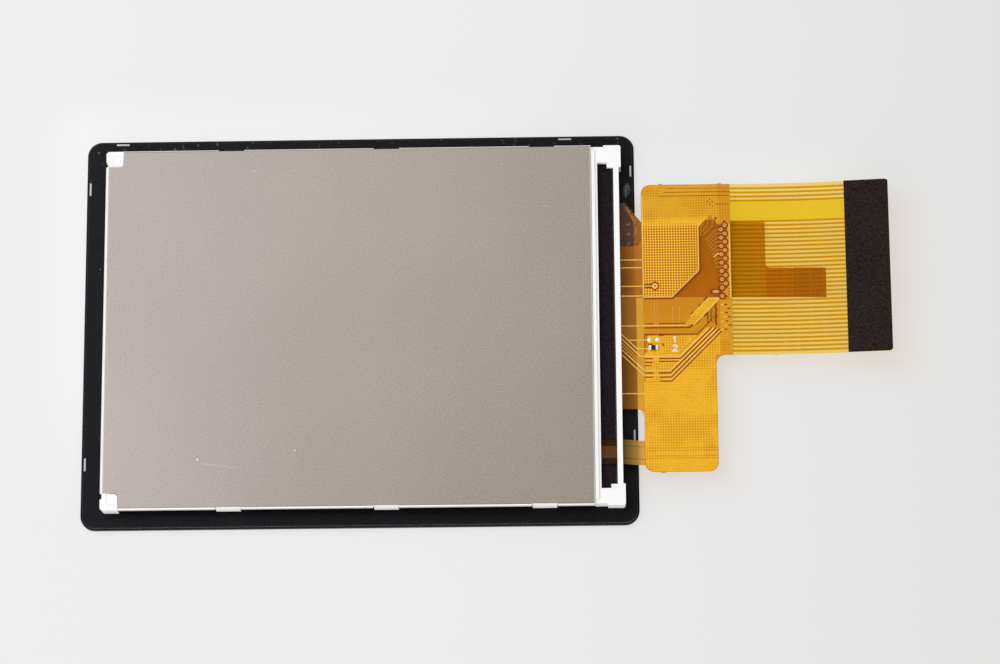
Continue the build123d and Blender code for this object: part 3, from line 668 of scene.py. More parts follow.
def pour_finish(name, look):
    """Copper pour under amber film: a square grid of openings, clear in one part and patchy beyond."""
    paint = Paint(name)
    x, y, z = paint.axes()
    pitch = look.hatch_pitch / MM
    limits = (look.hatch_hole + 0.12, look.hatch_hole - 0.12)
    across = paint.step(paint.wave(x, pitch), *limits)
    along = paint.step(paint.wave(y, pitch), *limits)
    clear = paint.step(y, *HATCH_HIGH) * paint.step(y, *HATCH_LOW) * paint.step(x, *HATCH_RIGHT)
    patchy = paint.step(paint.noise(3.0, 2.0), 0.40, 0.62) * 0.36 + 0.20
    for middle, outer, inner in HATCH_BANDS:
        patchy = patchy + paint.step(abs(y - middle), outer, inner) * 0.3
    opening = across * along * paint.math("MAXIMUM", clear, patchy)
    cloud = paint.noise(1.6, 3.0)
    fine = paint.noise(0.20, 2.0)
    tone = (cloud - 0.5) * 0.7 + (fine - 0.5) * 1.8 + 0.5
    solid = paint.shades(tone, look.copper, 0.86, 1.14)
    solid = paint.blend(paint.specks(1.6, 0.10) * 0.5, solid, look.trace_bright)
    solid = paint.blend(clear, solid, look.copper_line)
    # The copper blends darker towards the tail's root, towards the top and across the right of the clear
    # hatch
    darkening = paint.math("MAXIMUM", paint.step(x, *DARKENING_ROOT_X) * 0.65, paint.step(y, *DARKENING_TOP_Y) * 0.4)
    darkening = paint.math("MAXIMUM", darkening, paint.step(x, *DARKENING_HATCH_X) * clear * 0.22)
    solid = paint.blend(darkening, solid, look.copper_deep)
    base = paint.blend(opening, solid, look.copper_hole)
    return paint.done(paint.surface(base, 0.36 + (fine - 0.5) * 0.15, DULL_GLOSS, 0 - opening, 0.012))


def ribbed_finish(name, colour, pitch, along_x):
    """Optical film with fine parallel ribs and painted shade in the valleys between them."""
    paint = Paint(name)
    x, y, z = paint.axes()
    rib = paint.wave(x if along_x else y, pitch)
    # Painted shade: the colour darkens into the valleys between the ribs
    base = paint.shades(rib, colour, 0.92, 1.0)
    return paint.done(paint.surface(base, 0.18 + rib * 0.1, PLAIN_GLOSS, rib, pitch / 4))


def box_distance(paint, x, y, box):
    """Distance of a point outside a box given by its middle and half sizes in millimetres."""
    middle_x, middle_y, half_x, half_y = box
    beyond_x = paint.math("MAXIMUM", abs(x - middle_x) - half_x, 0.0)
    beyond_y = paint.math("MAXIMUM", abs(y - middle_y) - half_y, 0.0)
    return paint.length(beyond_x, beyond_y)


def floor_finish(name, look):
    """Pale floor: most of what is seen of it is a set colour, and the rest keeps the shadows.

    The set colour darkens to the right, takes a painted warm shadow beside the flex circuit, deepest below
    the tail's end, and painted light beside the white frame and above the flex circuit.
    """
    paint = Paint(name)
    x, y, z = paint.axes()
    base = paint.shades(paint.noise(40.0, 2.0), look.floor_colour, 0.995, 1.005)
    matte = paint.surface(base, 0.7, SOFT_GLOSS)
    shown = paint.blend(paint.step(x, *FLOOR_FADE_X), look.shown_left, look.shown_right)
    away = paint.math("MINIMUM", *[box_distance(paint, x, y, box) for box in (BOARD_SHADOW_AND_LIGHT, TAIL_SHADOW_AND_LIGHT)])
    above = paint.step(y, *FLOOR_ABOVE_Y)
    under = paint.step(x, *FLOOR_TAIL_SHADOW_X) * paint.step(y, *FLOOR_TAIL_SHADOW_Y)
    # Painted shadow: the warm shadow is full below the tail's end and weaker above the flex circuit
    share = look.warm_shadow_share * (1 - above * 0.8) + under * (1 - look.warm_shadow_share)
    # Painted warm shadow within a few millimetres of the board and the tail
    warm = paint.step(away, look.warm_shadow_reach / MM, 0.0) * share
    shown = paint.blend(warm, shown, look.shown_warm_shadow)
    # Painted light: a paler floor beside the cover, most towards its upper left
    pale = paint.step(box_distance(paint, x, y, COVER_GLOW), look.painted_light_reach / MM, 0.0)
    pale = pale * paint.step(x, *FLOOR_LIGHT_X) * paint.step(y, *FLOOR_LIGHT_Y) * look.painted_light_share
    # Painted light on the floor above the board and the tail
    over = paint.step(away, look.painted_light_reach / MM, 0.0) * above * paint.step(x, *FLOOR_LIGHT_ABOVE_X) * 0.4
    shown = paint.blend(paint.math("MAXIMUM", pale, over), shown, look.shown_painted_light)
    glow = paint.node("Emission", None, {"Color": shown, "Strength": 1.0}).outputs[0]
    path = paint.node("LightPath").outputs
    seen = paint.math("MAXIMUM", path["Is Camera Ray"], path["Is Glossy Ray"])
    seen = paint.math("MAXIMUM", seen, path["Is Transmission Ray"])
    return paint.done(paint.mix(seen * look.shown_share, matte, glow))


def dress(material, *nodes):
    """Gives a finish to CAD nodes through their material slots."""
    for node in nodes:
        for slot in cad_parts[node].material_slots:
            slot.material = material


def grid_faces(grids, loops, capped):
    """Points and faces of grids: neighbours along both parameters of a grid make a quad.

    Each grid is an array of rows, columns and xyz in metres. A loop's last row joins its first one,
    and where loops are capped one more face closes the ring of points in their last column.
    """
    points, faces, count = [], [], 0
    for grid, closed in [(grid, False) for grid in grids] + [(grid, True) for grid in loops]:
        rows, columns = grid.shape[:2]
        index = np.arange(rows * columns).reshape(rows, columns) + count
        wrapped = np.vstack([index, index[:1]]) if closed else index
        corners = (wrapped[:-1, :-1], wrapped[1:, :-1], wrapped[1:, 1:], wrapped[:-1, 1:])
        faces += np.stack([corner.ravel() for corner in corners], axis=1).tolist()
        if closed and capped:
            faces.append(index[:, -1].tolist())
        points.append(grid.reshape(-1, 3))
        count += rows * columns
    return np.vstack(points), faces


def add_object(name, data):
    """Object in the scene for a mesh, a lamp or a camera."""
    made = bpy.data.objects.new(name, data)
    bpy.context.scene.collection.objects.link(made)
    return made


def add_mesh(name, material, grids=(), loops=(), capped=False):
    """One mesh made of open grids and closed loops."""
    mesh = bpy.data.meshes.new(name)
    points, faces = grid_faces(grids, loops, capped)
    mesh.from_pydata(points, [], faces)
    mesh.materials.append(material)
    return add_object(name, mesh)


def add_piece(name, material, grids=(), loops=(), capped=False):
    """A mesh that rides on the part's only body."""
    piece = add_mesh(name, material, grids, loops, capped)
    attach(piece, "root")
    return piece


def raised(plan, level, height):
    """Grid over a plan of four columns: the outer columns and both end rows lie on the level."""
    plan = np.pad(plan, ((1, 1), (0, 0), (0, 0)), mode="edge")
    lift = np.pad(np.ones(len(plan) - 2), 1)[:, None] * np.array([0.0, 1.0, 1.0, 0.0])
    return np.concatenate([plan, (level + height * lift)[:, :, None]], axis=2)


def strip(route, width, level, height):
    """Raised strip: a flat-topped profile carried along a route, mitred at its corners.

    At each point the profile lies along the mean of the two side directions, stretched by one over
    one plus their dot product so that the strip keeps its width round the corner.
    """
    route = np.array(route) * MM
    ahead = np.diff(route, axis=0)
    ahead /= np.linalg.norm(ahead, axis=1, keepdims=True)
    side = np.stack([-ahead[:, 1], ahead[:, 0]], axis=1)
    before = np.vstack([side[:1], side])
    after = np.vstack([side, side[-1:]])
    mitre = (before + after) / (1 + (before * after).sum(axis=1, keepdims=True))
    reach = np.array([-0.5, -0.44, 0.44, 0.5]) * width
    return raised(route[:, None, :] + mitre[:, None, :] * reach[None, :, None], level, height)


def level_line(middle, length):
    """Route along x about a middle."""
    return [(middle[0] - length / 2, middle[1]), (middle[0] + length / 2, middle[1])]


def pour(knots, level, height):
    """Raised sheet between a lower and an upper edge line over x."""
    x, low, high = (np.array(knots) * MM).T
    y = np.stack([low, low + height, high - height, high], axis=1)
    return raised(np.stack([np.broadcast_to(x[:, None], y.shape), y], axis=2), level, height)


def ring(centre, inner, outer, level, height, turn=None, steps=20, stretch=1.0):
    """Flat-topped ring: the profile from its outer foot to its inner one, turned about the centre.

    Without a turn it is a loop for a full circle, otherwise an arc between two shares of a full turn.
    Stretch widens it along x.
    """
    start, end = turn or (0.0, 1.0)
    angle = np.linspace(start, end, steps, endpoint=turn is not None) * 2 * np.pi
    radius = np.array([outer * MM, outer * MM - height / 2, inner * MM + height / 2, inner * MM])
    x = centre[0] * MM + stretch * radius[None, :] * np.cos(angle)[:, None]
    y = centre[1] * MM + radius[None, :] * np.sin(angle)[:, None]
    z = np.array([0.0, height, height, 0.0]) + level
    return np.stack([x, y, np.broadcast_to(z, x.shape)], axis=2)


def bead(box, height, square=2.0, ripple=0.0, taper=0.0, lean=0.0, rows=40, columns=9):
    """Rounded bead in a box: a super-ellipse outline drawn in to its middle as it rises on a round section.

    Ripple waves the outline, taper narrows its half at low y and lean shifts that end towards low x.
    """
    low, high = box
    middle, half = (low + high) / 2, (high - low) / 2
    angle = np.linspace(0, 2 * np.pi, rows, endpoint=False)[:, None]
    inward = np.linspace(1.0, 0.03, columns)[None, :]
    cos, sin = np.cos(angle), np.sin(angle)
    reach = (np.abs(cos) ** square + np.abs(sin) ** square) ** (-1 / square)
    reach = reach * (1 - ripple + ripple * np.sin(3 * angle + middle.y / MM))
    down = np.clip(-sin * reach, 0.0, 1.0)
    x = middle.x + half.x * reach * cos * inward * (1 - taper * down) - lean * down * inward * half.x
    y = middle.y + half.y * reach * sin * inward
    z = low.z + height * np.sqrt(1 - inward**2) + 0 * angle
    return np.stack([x, y, z], axis=2)


def colour_setting(name, description, default):
    """Setting for a colour."""
    return FloatVectorProperty(
        name=name, description=description, subtype="COLOR", default=default, min=0.0, max=1.0)


def place_setting(name, description, default):
    """Setting for a place in metres."""
    return FloatVectorProperty(name=name, description=description, subtype="TRANSLATION", default=default)


def length_setting(name, description, default, least):
    """Setting for a length: given in millimetres, kept in metres."""
    return FloatProperty(
        name=name, description=description, unit="LENGTH", default=default * MM, min=least * MM)


def share_setting(name, description, default):
    """Setting for a share from 0 to 1."""
    return FloatProperty(
        name=name, description=description, subtype="FACTOR", default=default, min=0.0, max=1.0)


class PanelSettings(bpy.types.PropertyGroup):
    """Colours and sizes of the touch panel and the display's glass."""

    border_black: colour_setting(
        "Border Black", "Black print seen through the touch film", (0.0044, 0.0030, 0.0054))
    tape_black: colour_setting(
        "Tape Black", "Black tapes between the layers and in the slot", (0.0100, 0.0050, 0.0084))
    # Painted reflection of the black border in the cover's edge
    rim_reflection_black: colour_setting("Rim Black", "Ground rim of the cover glass", (0.004, 0.004, 0.0045))
    mark_silver: colour_setting(
        "Mark Silver", "Registration marks near the edge of the panel", (0.43, 0.43, 0.43))
    glass_tint: colour_setting("Glass Tint", "Tint of the cover glass", (0.86, 0.92, 0.90))
    polarizer_grey: colour_setting("Polarizer Grey", "Dark film over the display", (0.030, 0.032, 0.036))
    corner_radius: length_setting("Corner Radius", "Radius of the cover's corners", 1.7, 0.1)
    window_low: place_setting(
        "Window Low", "Lower corner of the window in the border", (-27.43 * MM, -18.81 * MM, 0.0))
    window_high: place_setting(
        "Window High", "Upper corner of the window in the border", (22.43 * MM, 18.81 * MM, 0.0))


class BacklightSettings(bpy.types.PropertyGroup):
    """Colours of the backlight, its frame and its plate."""

    plate_grey: colour_setting("Plate Grey", "Rolled sheet of the back plate", (0.326, 0.286, 0.271))
    # Sheet colour under the painted warmer light towards the connector
    plate_warm_light: colour_setting("Plate Warm", "Rolled sheet towards the connector", (0.338, 0.294, 0.255))
    # Painted highlight on the plate's folded edges and ends
    fold_highlight_white: colour_setting(
        "Fold Bright", "Burnished folds along the plate's edges", (0.94, 0.93, 0.91))
    moulding_white: colour_setting("Moulding White", "Moulded frame and light packages", (0.94, 0.94, 0.94))
    phosphor_yellow: colour_setting("Phosphor Yellow", "Resin in the light packages", (0.85, 0.68, 0.10))


class FlexSettings(bpy.types.PropertyGroup):
    """Colours and sizes of the flex circuits."""

    tail_tint: colour_setting(
        "Tail Tint", "Light that has passed one face of the tail between its conductors", (1.0, 0.905, 0.51))
    band_tint: colour_setting(
        "Band Tint", "Light that has passed one face of the tail's plain band", (1.0, 0.88, 0.22))
    board_tint: colour_setting(
        "Board Tint", "Light that has passed one face of the board's film", (1.0, 0.73, 0.16))
    neck_tint: colour_setting(
        "Neck Tint", "Light that has passed one face of the neck's film", (1.0, 0.81, 0.26))
    neck_amber: colour_setting(
        "Neck Amber", "Light that the neck's film itself throws back", (0.74, 0.33, 0.045))
    tail_amber: colour_setting(
        "Tail Amber", "Light that the tail's film itself throws back", (1.0, 0.54, 0.0))
    film_amber: colour_setting("Film Amber", "Light that the film itself throws back", (0.66, 0.25, 0.006))
    touch_brown: colour_setting("Touch Brown", "Wide part of the touch circuit", (0.62, 0.37, 0.13))
    touch_red: colour_setting("Touch Red", "Narrow tail of the touch circuit", (0.60, 0.10, 0.035))
    bond_orange: colour_setting(
        "Bond Orange", "Filled film between the bond and the board", (0.48, 0.15, 0.004))
    bond_brown: colour_setting(
        "Bond Brown", "Thin film of the touch circuit over the black border", (0.66, 0.31, 0.20))
    tab_film: colour_setting("Tab Film", "Tab of the light circuit beside the frame", (0.42, 0.25, 0.055))
    # Darker in the slot, partly by painted shade from the rails
    tab_copper: colour_setting(
        "Tab Copper", "Copper band of the light circuit in the slot", (0.15, 0.066, 0.02))
    copper: colour_setting(
        "Copper Under Film", "Copper pours seen through the cover film", (0.96, 0.49, 0.022))
    copper_line: colour_setting("Copper Line", "Bright lines of the clear hatch", (1.0, 0.58, 0.05))
    copper_hole: colour_setting("Copper Hole", "Openings of the hatch", (0.50, 0.125, 0.001))
    copper_gap: colour_setting("Copper Gap", "Gaps cut through the copper", (0.30, 0.044, 0.001))
    fanout_gap: colour_setting(
        "Fan-out Gap", "Dark ground between the traces that fan out from the vias", (0.38, 0.095, 0.001))
    copper_deep: colour_setting(
        "Copper Deep", "Traces of a lower layer seen through the film", (0.60, 0.26, 0.014))
    trace_bright: colour_setting("Trace Bright", "Thin traces that catch the light", (0.92, 0.56, 0.12))
    trace_faint: colour_setting(
        "Trace Faint", "Traces of the other side seen through the film", (0.68, 0.30, 0.04))
    via_pale: colour_setting("Via Pale", "Plated middle of a via", (0.68, 0.38, 0.11))
    tail_copper: colour_setting(
        "Tail Copper", "Conductors on the front of the tail, seen through it", (0.50, 0.20, 0.0))
    conductor_tint: colour_setting(
        "Conductor Tint", "Light that passes a conductor's thin edges", (0.87, 0.67, 0.0))
    hatch_pitch: length_setting("Hatch Pitch", "Distance between openings of a pour", 0.31, 0.05)
    hatch_hole: share_setting("Hatch Hole", "Share of the pitch that an opening takes", 0.72)
    trace_width: length_setting("Trace Width", "Width of a bright trace", 0.13, 0.01)
    pour_height: length_setting("Pour Height", "Height of a pour above the film", 0.015, 0.001)
    gap_height: length_setting(
        "Gap Height", "Height at which a gap's dark strip covers a pour", 0.022, 0.001)
    trace_height: length_setting("Trace Height", "Height of a trace above the film", 0.030, 0.001)
    solder_height: length_setting("Solder Height", "Height of the solder on a bare pad", 0.10, 0.01)
    solder_width: length_setting("Solder Width", "Width of the solder on a bare pad", 0.50, 0.05)
    solder_spread: length_setting("Solder Spread", "Solder beyond the outer edge of a bare pad", 0.07, 0.0)
    via_pitch: length_setting("Via Pitch", "Distance between two rows of vias", 0.5, 0.1)
    via_rows: IntProperty(
        name="Via Rows", description="Vias beside the tail, in two staggered columns",
        default=18, min=17)
    tab_inset: length_setting(
        "Tab Inset", "Middle of the light circuit's tab from the board's lower edge", 2.35, 0.0)
    tab_band: length_setting("Tab Band", "Width of the copper band along the tab", 1.45, 0.1)


class StageSettings(bpy.types.PropertyGroup):
    """Floor, lamps and camera."""

    floor_colour: colour_setting("Floor Colour", "Pale floor under the part", (0.84, 0.84, 0.845))
    shown_left: colour_setting(
        "Shown Left", "Floor as the camera sees it at the left", (0.858, 0.858, 0.868))
    shown_right: colour_setting(
        "Shown Right", "Floor as the camera sees it at the right", (0.700, 0.700, 0.684))
    # Painted warm shadow on the floor beside the flex circuit, tinted by the amber film
    shown_warm_shadow: colour_setting(
        "Shown Warm", "Floor beside the flex circuit, which throws amber light on it", (0.80, 0.74, 0.69))
    # Share of the painted warm shadow
    warm_shadow_share: share_setting("Warm Share", "Share of the warm colour beside the flex circuit", 0.75)
    # Painted light on the floor beside the white frame
    shown_painted_light: colour_setting(
        "Shown Pale", "Floor beside the white frame, which throws light on it", (0.945, 0.945, 0.955))
    # Reach and share of the painted light beside the white frame
    painted_light_reach: length_setting("Pale Reach", "How far the pale colour reaches", 8.0, 0.1)
    painted_light_share: share_setting("Pale Share", "Share of the pale colour beside the white frame", 0.7)
    # How far the painted warm shadow reaches
    warm_shadow_reach: length_setting("Warm Reach", "How far the warm colour reaches", 4.5, 0.1)
    shown_share: share_setting("Shown Share", "Share of the shown colour, the rest keeps the shadows", 0.80)
    sky_level: FloatProperty(
        name="Sky Level", description="Even light from all round", default=0.555, min=0.0)
    sky_colour: colour_setting("Sky Colour", "Colour of the even light", (1.0, 0.985, 0.955))
    key_power: FloatProperty(
        name="Key Power", description="Power of the large soft lamp", unit="POWER", default=0.80, min=0.0)
    key_colour: colour_setting("Key Colour", "Colour of the large soft lamp", (0.94, 0.97, 1.0))
    key_size: length_setting("Key Size", "Width of the large soft lamp", 340.0, 10.0)
    key_place: place_setting("Key Place", "Place of the large soft lamp", (-0.17, 0.12, 0.34))
    fill_power: FloatProperty(
        name="Fill Power", description="Power of the low lamp in front", unit="POWER", default=2.1, min=0.0)
    fill_size: length_setting("Fill Size", "Width of the low lamp in front", 600.0, 10.0)
    fill_place: place_setting("Fill Place", "Place of the low lamp in front", (-0.24, -0.56, 0.22))
    camera_aim: place_setting(
        "Camera Aim", "Point that the camera looks at", (0.016287, -0.0001, -0.000381))
    camera_turn: FloatVectorProperty(
        name="Camera Turn", description="Turn of the camera about the three axes",
        subtype="EULER", default=(0.2345, 0.0236, -0.0070))
    camera_distance: length_setting("Camera Distance", "Distance from the camera to its aim", 402.957, 10.0)
    camera_lens: FloatProperty(
        name="Camera Lens", description="Focal length on a 36 mm wide sensor",
        unit="CAMERA", default=124.39, min=1.0)


class DISPLAY_OT_panel(bpy.types.Operator):
    """Finishes of the cover glass, its black border, the touch film and the display glass"""

    bl_idname = "display.panel"
    bl_label = "Touch Panel"

    def execute(self, context):
        look = context.scene.display_panel
        dress(cover_finish("cover glass", look), "cover_lens")
        dress(clear_finish("clear adhesive", (0.97, 0.98, 0.98), 0.0, 0.2), "sensor_adhesive")
        glass = clear_finish("display glass", (0.93, 0.97, 0.95), 0.04, 0.06)
        dress(glass, "colour_filter_glass", "tft_glass")
        dress(fine_finish("border print", look.border_black, 0.45, gloss=DULL_GLOSS), "border_print")
        dress(sensor_finish("touch film", look), "touch_sensor")
        dress(fine_finish("silver mark", look.mark_silver, 0.35, metallic=0.3), "registration_marks")
        rough = {"spread": 0.6, "speckle": 4.0, "gloss": DULL_GLOSS}
        tape = fine_finish("black tape", look.tape_black, 0.55, 0.24, **rough)
        dress(tape, "module_tape", "ledge_tape", "light_shield")
        grey = fine_finish("polarizer", look.polarizer_grey, 0.18, gloss=PLAIN_GLOSS)
        dress(grey, "front_polarizer", "rear_polarizer")
        dress(fine_finish("silicon", (0.05, 0.05, 0.06), 0.22, metallic=0.4), "driver_chip")
        return {"FINISHED"}


class DISPLAY_OT_backlight(bpy.types.Operator):
    """Finishes of the back plate, the white frame, the optical films and the light sources"""

    bl_idname = "display.backlight"
    bl_label = "Backlight"

    def execute(self, context):
        look = context.scene.display_backlight
        white = look.moulding_white
        dress(plate_finish("rolled plate", look), "back_plate")
        dress(moulding_finish("white moulding", white), "backlight_frame")
        dress(fine_finish("light package", white, 0.38, spread=0.04), "leds")
        dress(fine_finish("phosphor", look.phosphor_yellow, 0.5, grain=0.06, spread=0.2), "led_phosphors")
        dress(ribbed_finish("ribs along", PRISM_GREY, PRISM_PITCH, False), "upper_prism_film")
        dress(ribbed_finish("ribs across", PRISM_GREY, PRISM_PITCH, True), "lower_prism_film")
        film = fine_finish("white film", (0.90, 0.90, 0.90), 0.55, spread=0.03)
        dress(film, "diffuser_film", "reflector_film")
        guide = fine_finish("guide acrylic", (0.84, 0.88, 0.90), 0.12, spread=0.05, gloss=PLAIN_GLOSS)
        dress(guide, "light_guide")
        return {"FINISHED"}


class DISPLAY_OT_flex(bpy.types.Operator):
    """Finishes of the flex circuits, their contacts, stiffeners and parts"""

    bl_idname = "display.flex"
    bl_label = "Flex Circuits"

    def execute(self, context):
        look = context.scene.display_flex
        dress(main_film_finish("main film", look), "lcd_flex")
        dress(light_film_finish("light film", look), "led_flex")
        dress(touch_film_finish("touch circuit", look), "touch_flex")
        paint = Paint("tail copper")
        copper = film_shader(paint, look.conductor_tint, look.tail_copper, 0.06)
        dress(paint.done(copper), "tail_conductors")
        gold = fine_finish("gold", (0.85, 0.60, 0.22), 0.28, metallic=0.9, spread=0.08)
        dress(gold, "contact_fingers", "touch_contacts")
        rough = {"spread": 0.9, "speckle": 4.0, "gloss": DULL_GLOSS}
        board = fine_finish("black stiffener", (0.0165, 0.0092, 0.0080), 0.6, 0.17, **rough)
        dress(board, "contact_stiffener")
        dress(fine_finish("brown stiffener", (0.36, 0.045, 0.035), 0.5), "touch_stiffener")
        dress(fine_finish("resistor black", (0.010, 0.010, 0.011), 0.4, spread=0.3), "chip_resistor")
        terminal = fine_finish("terminal", (0.86, 0.86, 0.85), 0.3, depth=0.01, metallic=0.35)
        dress(terminal, "resistor_terminals")
        dress(fine_finish("chip package", (0.02, 0.02, 0.021), 0.5, spread=0.3), "touch_controller")
        dress(fine_finish("capacitor tan", (0.42, 0.32, 0.22), 0.5), "touch_capacitors")
        return {"FINISHED"}


class DISPLAY_OT_pours(bpy.types.Operator):
    """Copper pours on the back of the main flex circuit, with the gaps cut between them"""

    bl_idname = "display.pours"
    bl_label = "Copper Pours"

    def execute(self, context):
        look = context.scene.display_flex
        sheets = [pour(knots, BOARD_BACK, look.pour_height) for knots in HATCHED_POURS]
        add_piece("copper_pours", pour_finish("hatched copper", look), sheets)
        dark = fine_finish("copper gap", look.copper_gap, 0.4, spread=0.25, gloss=DULL_GLOSS)
        cuts = [strip(route, width * MM, BOARD_BACK, look.gap_height) for route, width in GAP_ROUTES]
        for middles, (length, width) in ((DASH_MIDDLES, DASH_SIZE), (DOT_MIDDLES, DOT_SIZE)):
            cuts += [strip(level_line(c, length), width * MM, BOARD_BACK, look.gap_height) for c in middles]
        rim = ring(KEYHOLE, KEYHOLE_RADII["copper"], KEYHOLE_RADII["gap"], BOARD_BACK, look.gap_height)
        hole = ring(KEYHOLE, KEYHOLE_RADII["dot"], KEYHOLE_RADII["hole"], BOARD_BACK, look.trace_height)
        add_piece("copper_gaps", dark, cuts, [rim, hole])
        return {"FINISHED"}


class DISPLAY_OT_traces(bpy.types.Operator):
    """Bright traces on the neck and the board, faint ones below them and the rim of the hatched pour"""

    bl_idname = "display.traces"
    bl_label = "Traces"

    def execute(self, context):
        look = context.scene.display_flex
        bright = fine_finish("bright trace", look.trace_bright, 0.32, spread=0.15)
        routes = TRACE_ROUTES + [POUR_BORDER] + [level_line(c, PALE_LENGTH) for c in PALE_MIDDLES]
        traces = [strip(route, look.trace_width, BOARD_BACK, look.trace_height) for route in routes]
        pad = ring(KEYHOLE, KEYHOLE_RADII["hole"], KEYHOLE_RADII["copper"], BOARD_BACK, look.trace_height)
        add_piece("board_traces", bright, traces, [pad])
        deep = fine_finish("deep trace", look.trace_faint, 0.36, spread=0.15, gloss=DULL_GLOSS)
        faint = [strip(route, look.trace_width, BOARD_BACK, look.pour_height / 2) for route in FAINT_ROUTES]
        add_piece("faint_traces", deep, faint)
        return {"FINISHED"}


class DISPLAY_OT_vias(bpy.types.Operator):
    """Two staggered columns of vias beside the tail and the traces that fan out from them"""

    bl_idname = "display.vias"
    bl_label = "Vias"

    def execute(self, context):
        look = context.scene.display_flex
        dark = fine_finish("via gap", look.copper_gap, 0.4, spread=0.25, gloss=DULL_GLOSS)
        dim = shade(look.copper_deep, 0.8)
        copper = fine_finish("fan-out copper", dim, 0.36, spread=0.15, gloss=DULL_GLOSS)
        pale = fine_finish("via copper", look.via_pale, 0.3, spread=0.1)
        centres = self.centres(look)
        runs = [self.run(centre) for centre in centres[1:]] + FANOUT_ROUTES
        low, high = look.gap_height, look.trace_height
        levels = low * (1 + FANOUT_LEVELS["stagger"] * (np.arange(len(centres)) % 2))
        inner, outer = VIA_RADII["copper"], VIA_RADII["gap"]
        rims = [ring(c, inner, outer, BOARD_BACK, level) for c, level in zip(centres, levels)]
        rims += [ring(c, VIA_RADII["dot"], VIA_RADII["hole"], BOARD_BACK, high) for c in centres]
        middle, stretch = OVAL["middle"], OVAL["stretch"]
        level = low * FANOUT_LEVELS["oval"]
        rims += [ring(middle, OVAL["radius"], OVAL["gap"], BOARD_BACK, level, stretch=stretch)]
        ground = fine_finish("fan-out ground", look.fanout_gap, 0.4, spread=0.25, gloss=DULL_GLOSS)
        sheet = pour(self.ground(), BOARD_BACK, low * FANOUT_LEVELS["ground"])
        add_piece("fanout_ground", ground, [sheet])
        add_piece("via_gaps", dark, loops=rims)
        level = low * FANOUT_LEVELS["lane"]
        lanes = [strip(run, FANOUT_LANE * MM, BOARD_BACK, level) for run in runs]
        add_piece("fanout_traces", copper, lanes)
        middles = [ring(c, VIA_RADII["hole"], VIA_RADII["pale"], BOARD_BACK, high) for c in centres]
        oval = ring(middle, VIA_RADII["dot"], OVAL["radius"], BOARD_BACK, high, stretch=stretch)
        add_piece("via_middles", pale, loops=middles + [oval])
        return {"FINISHED"}

    def centres(self, look):
        """One via to each conductor of the tail but one, alternating between the two columns."""
        row = np.delete(np.arange(look.via_rows), VIA_MISSING)
        x = np.array(VIA_COLUMNS)[row % 2]
        y = TAIL_TOP / MM - VIA_FIRST - row * look.via_pitch / MM
        return np.stack([x, y], axis=1)

    def ground(self):
        """Dark ground of the fan-out: between its edge line and its top line over x."""
        edge_x, edge_y = np.array(FANOUT_EDGE + FANOUT_FOOT).T
        top_x, top_y = np.array(FANOUT_TOP).T
        return np.stack([edge_x, edge_y, np.interp(edge_x, top_x, top_y)], axis=1)

    def run(self, centre):
        """From a via straight back, then down at 45 degrees as far as the fan-out's edge line."""
        edge_x, edge_y = np.array(FANOUT_EDGE).T
        begin = (centre[0] - VIA_RADII["pale"], centre[1])
        level_end = np.interp(-centre[1], -edge_y, edge_x)
        if level_end >= FANOUT_START:
            return [begin, (level_end, centre[1])]
        limit = np.interp(FANOUT_REACH - centre[1], -edge_y, edge_x)
        length = FANOUT_REACH[np.argmax(FANOUT_START - FANOUT_REACH <= limit)]
        return [begin, (FANOUT_START, centre[1]), (FANOUT_START - length, centre[1] - length)]


class DISPLAY_OT_bond(bpy.types.Operator):
    """Bond pads, open rings and copper edge at the root of the touch flex circuit"""

    bl_idname = "display.bond"
    bl_label = "Touch Bond"

    def execute(self, context):
        look = context.scene.display_flex
        low = look.pour_height
        grey = fine_finish("bond pad", (0.060, 0.045, 0.035), 0.35, spread=0.3)
        rows = BOND_PADS["top"] - BOND_PADS["pitch"] * np.arange(BOND_PADS["count"])
        lines = [[(BOND_PADS["left"], y), (BOND_PADS["right"], y)] for y in rows]
        pads = [strip(line, BOND_PADS["width"] * MM, TOUCH_BACK, low) for line in lines]
        add_piece("bond_pads", grey, pads)
        pale = fine_finish("bond ring", (0.40, 0.32, 0.26), 0.3)
        arcs = [ring(c, *BOND_RING_RADII, TOUCH_BACK, low, BOND_RING_TURN) for c in BOND_RINGS]
        add_piece("bond_rings", pale, arcs)
        orange = fine_finish("bond edge", (0.36, 0.13, 0.025), 0.4, grain=0.25, spread=0.6, speckle=3.0)
        edge = strip(BOND_EDGE_LINE, BOND_EDGE_WIDTH * MM, TOUCH_BACK, low)
        add_piece("bond_edge", orange, [edge])
        return {"FINISHED"}


class DISPLAY_OT_numerals(bpy.types.Operator):
    """Two plain white numerals printed beside the resistor and the bare pads"""

    bl_idname = "display.numerals"
    bl_label = "Numerals"

    def execute(self, context):
        look = context.scene.display_flex
        white = fine_finish("white print", (0.90, 0.90, 0.88), 0.5, spread=0.06)
        width, height = NUMERAL_STROKE * MM, look.trace_height
        strokes = [strip(line, width, BOARD_BACK, height) for line in NUMERAL_STROKES]
        add_piece("white_numerals", white, strokes)
        return {"FINISHED"}


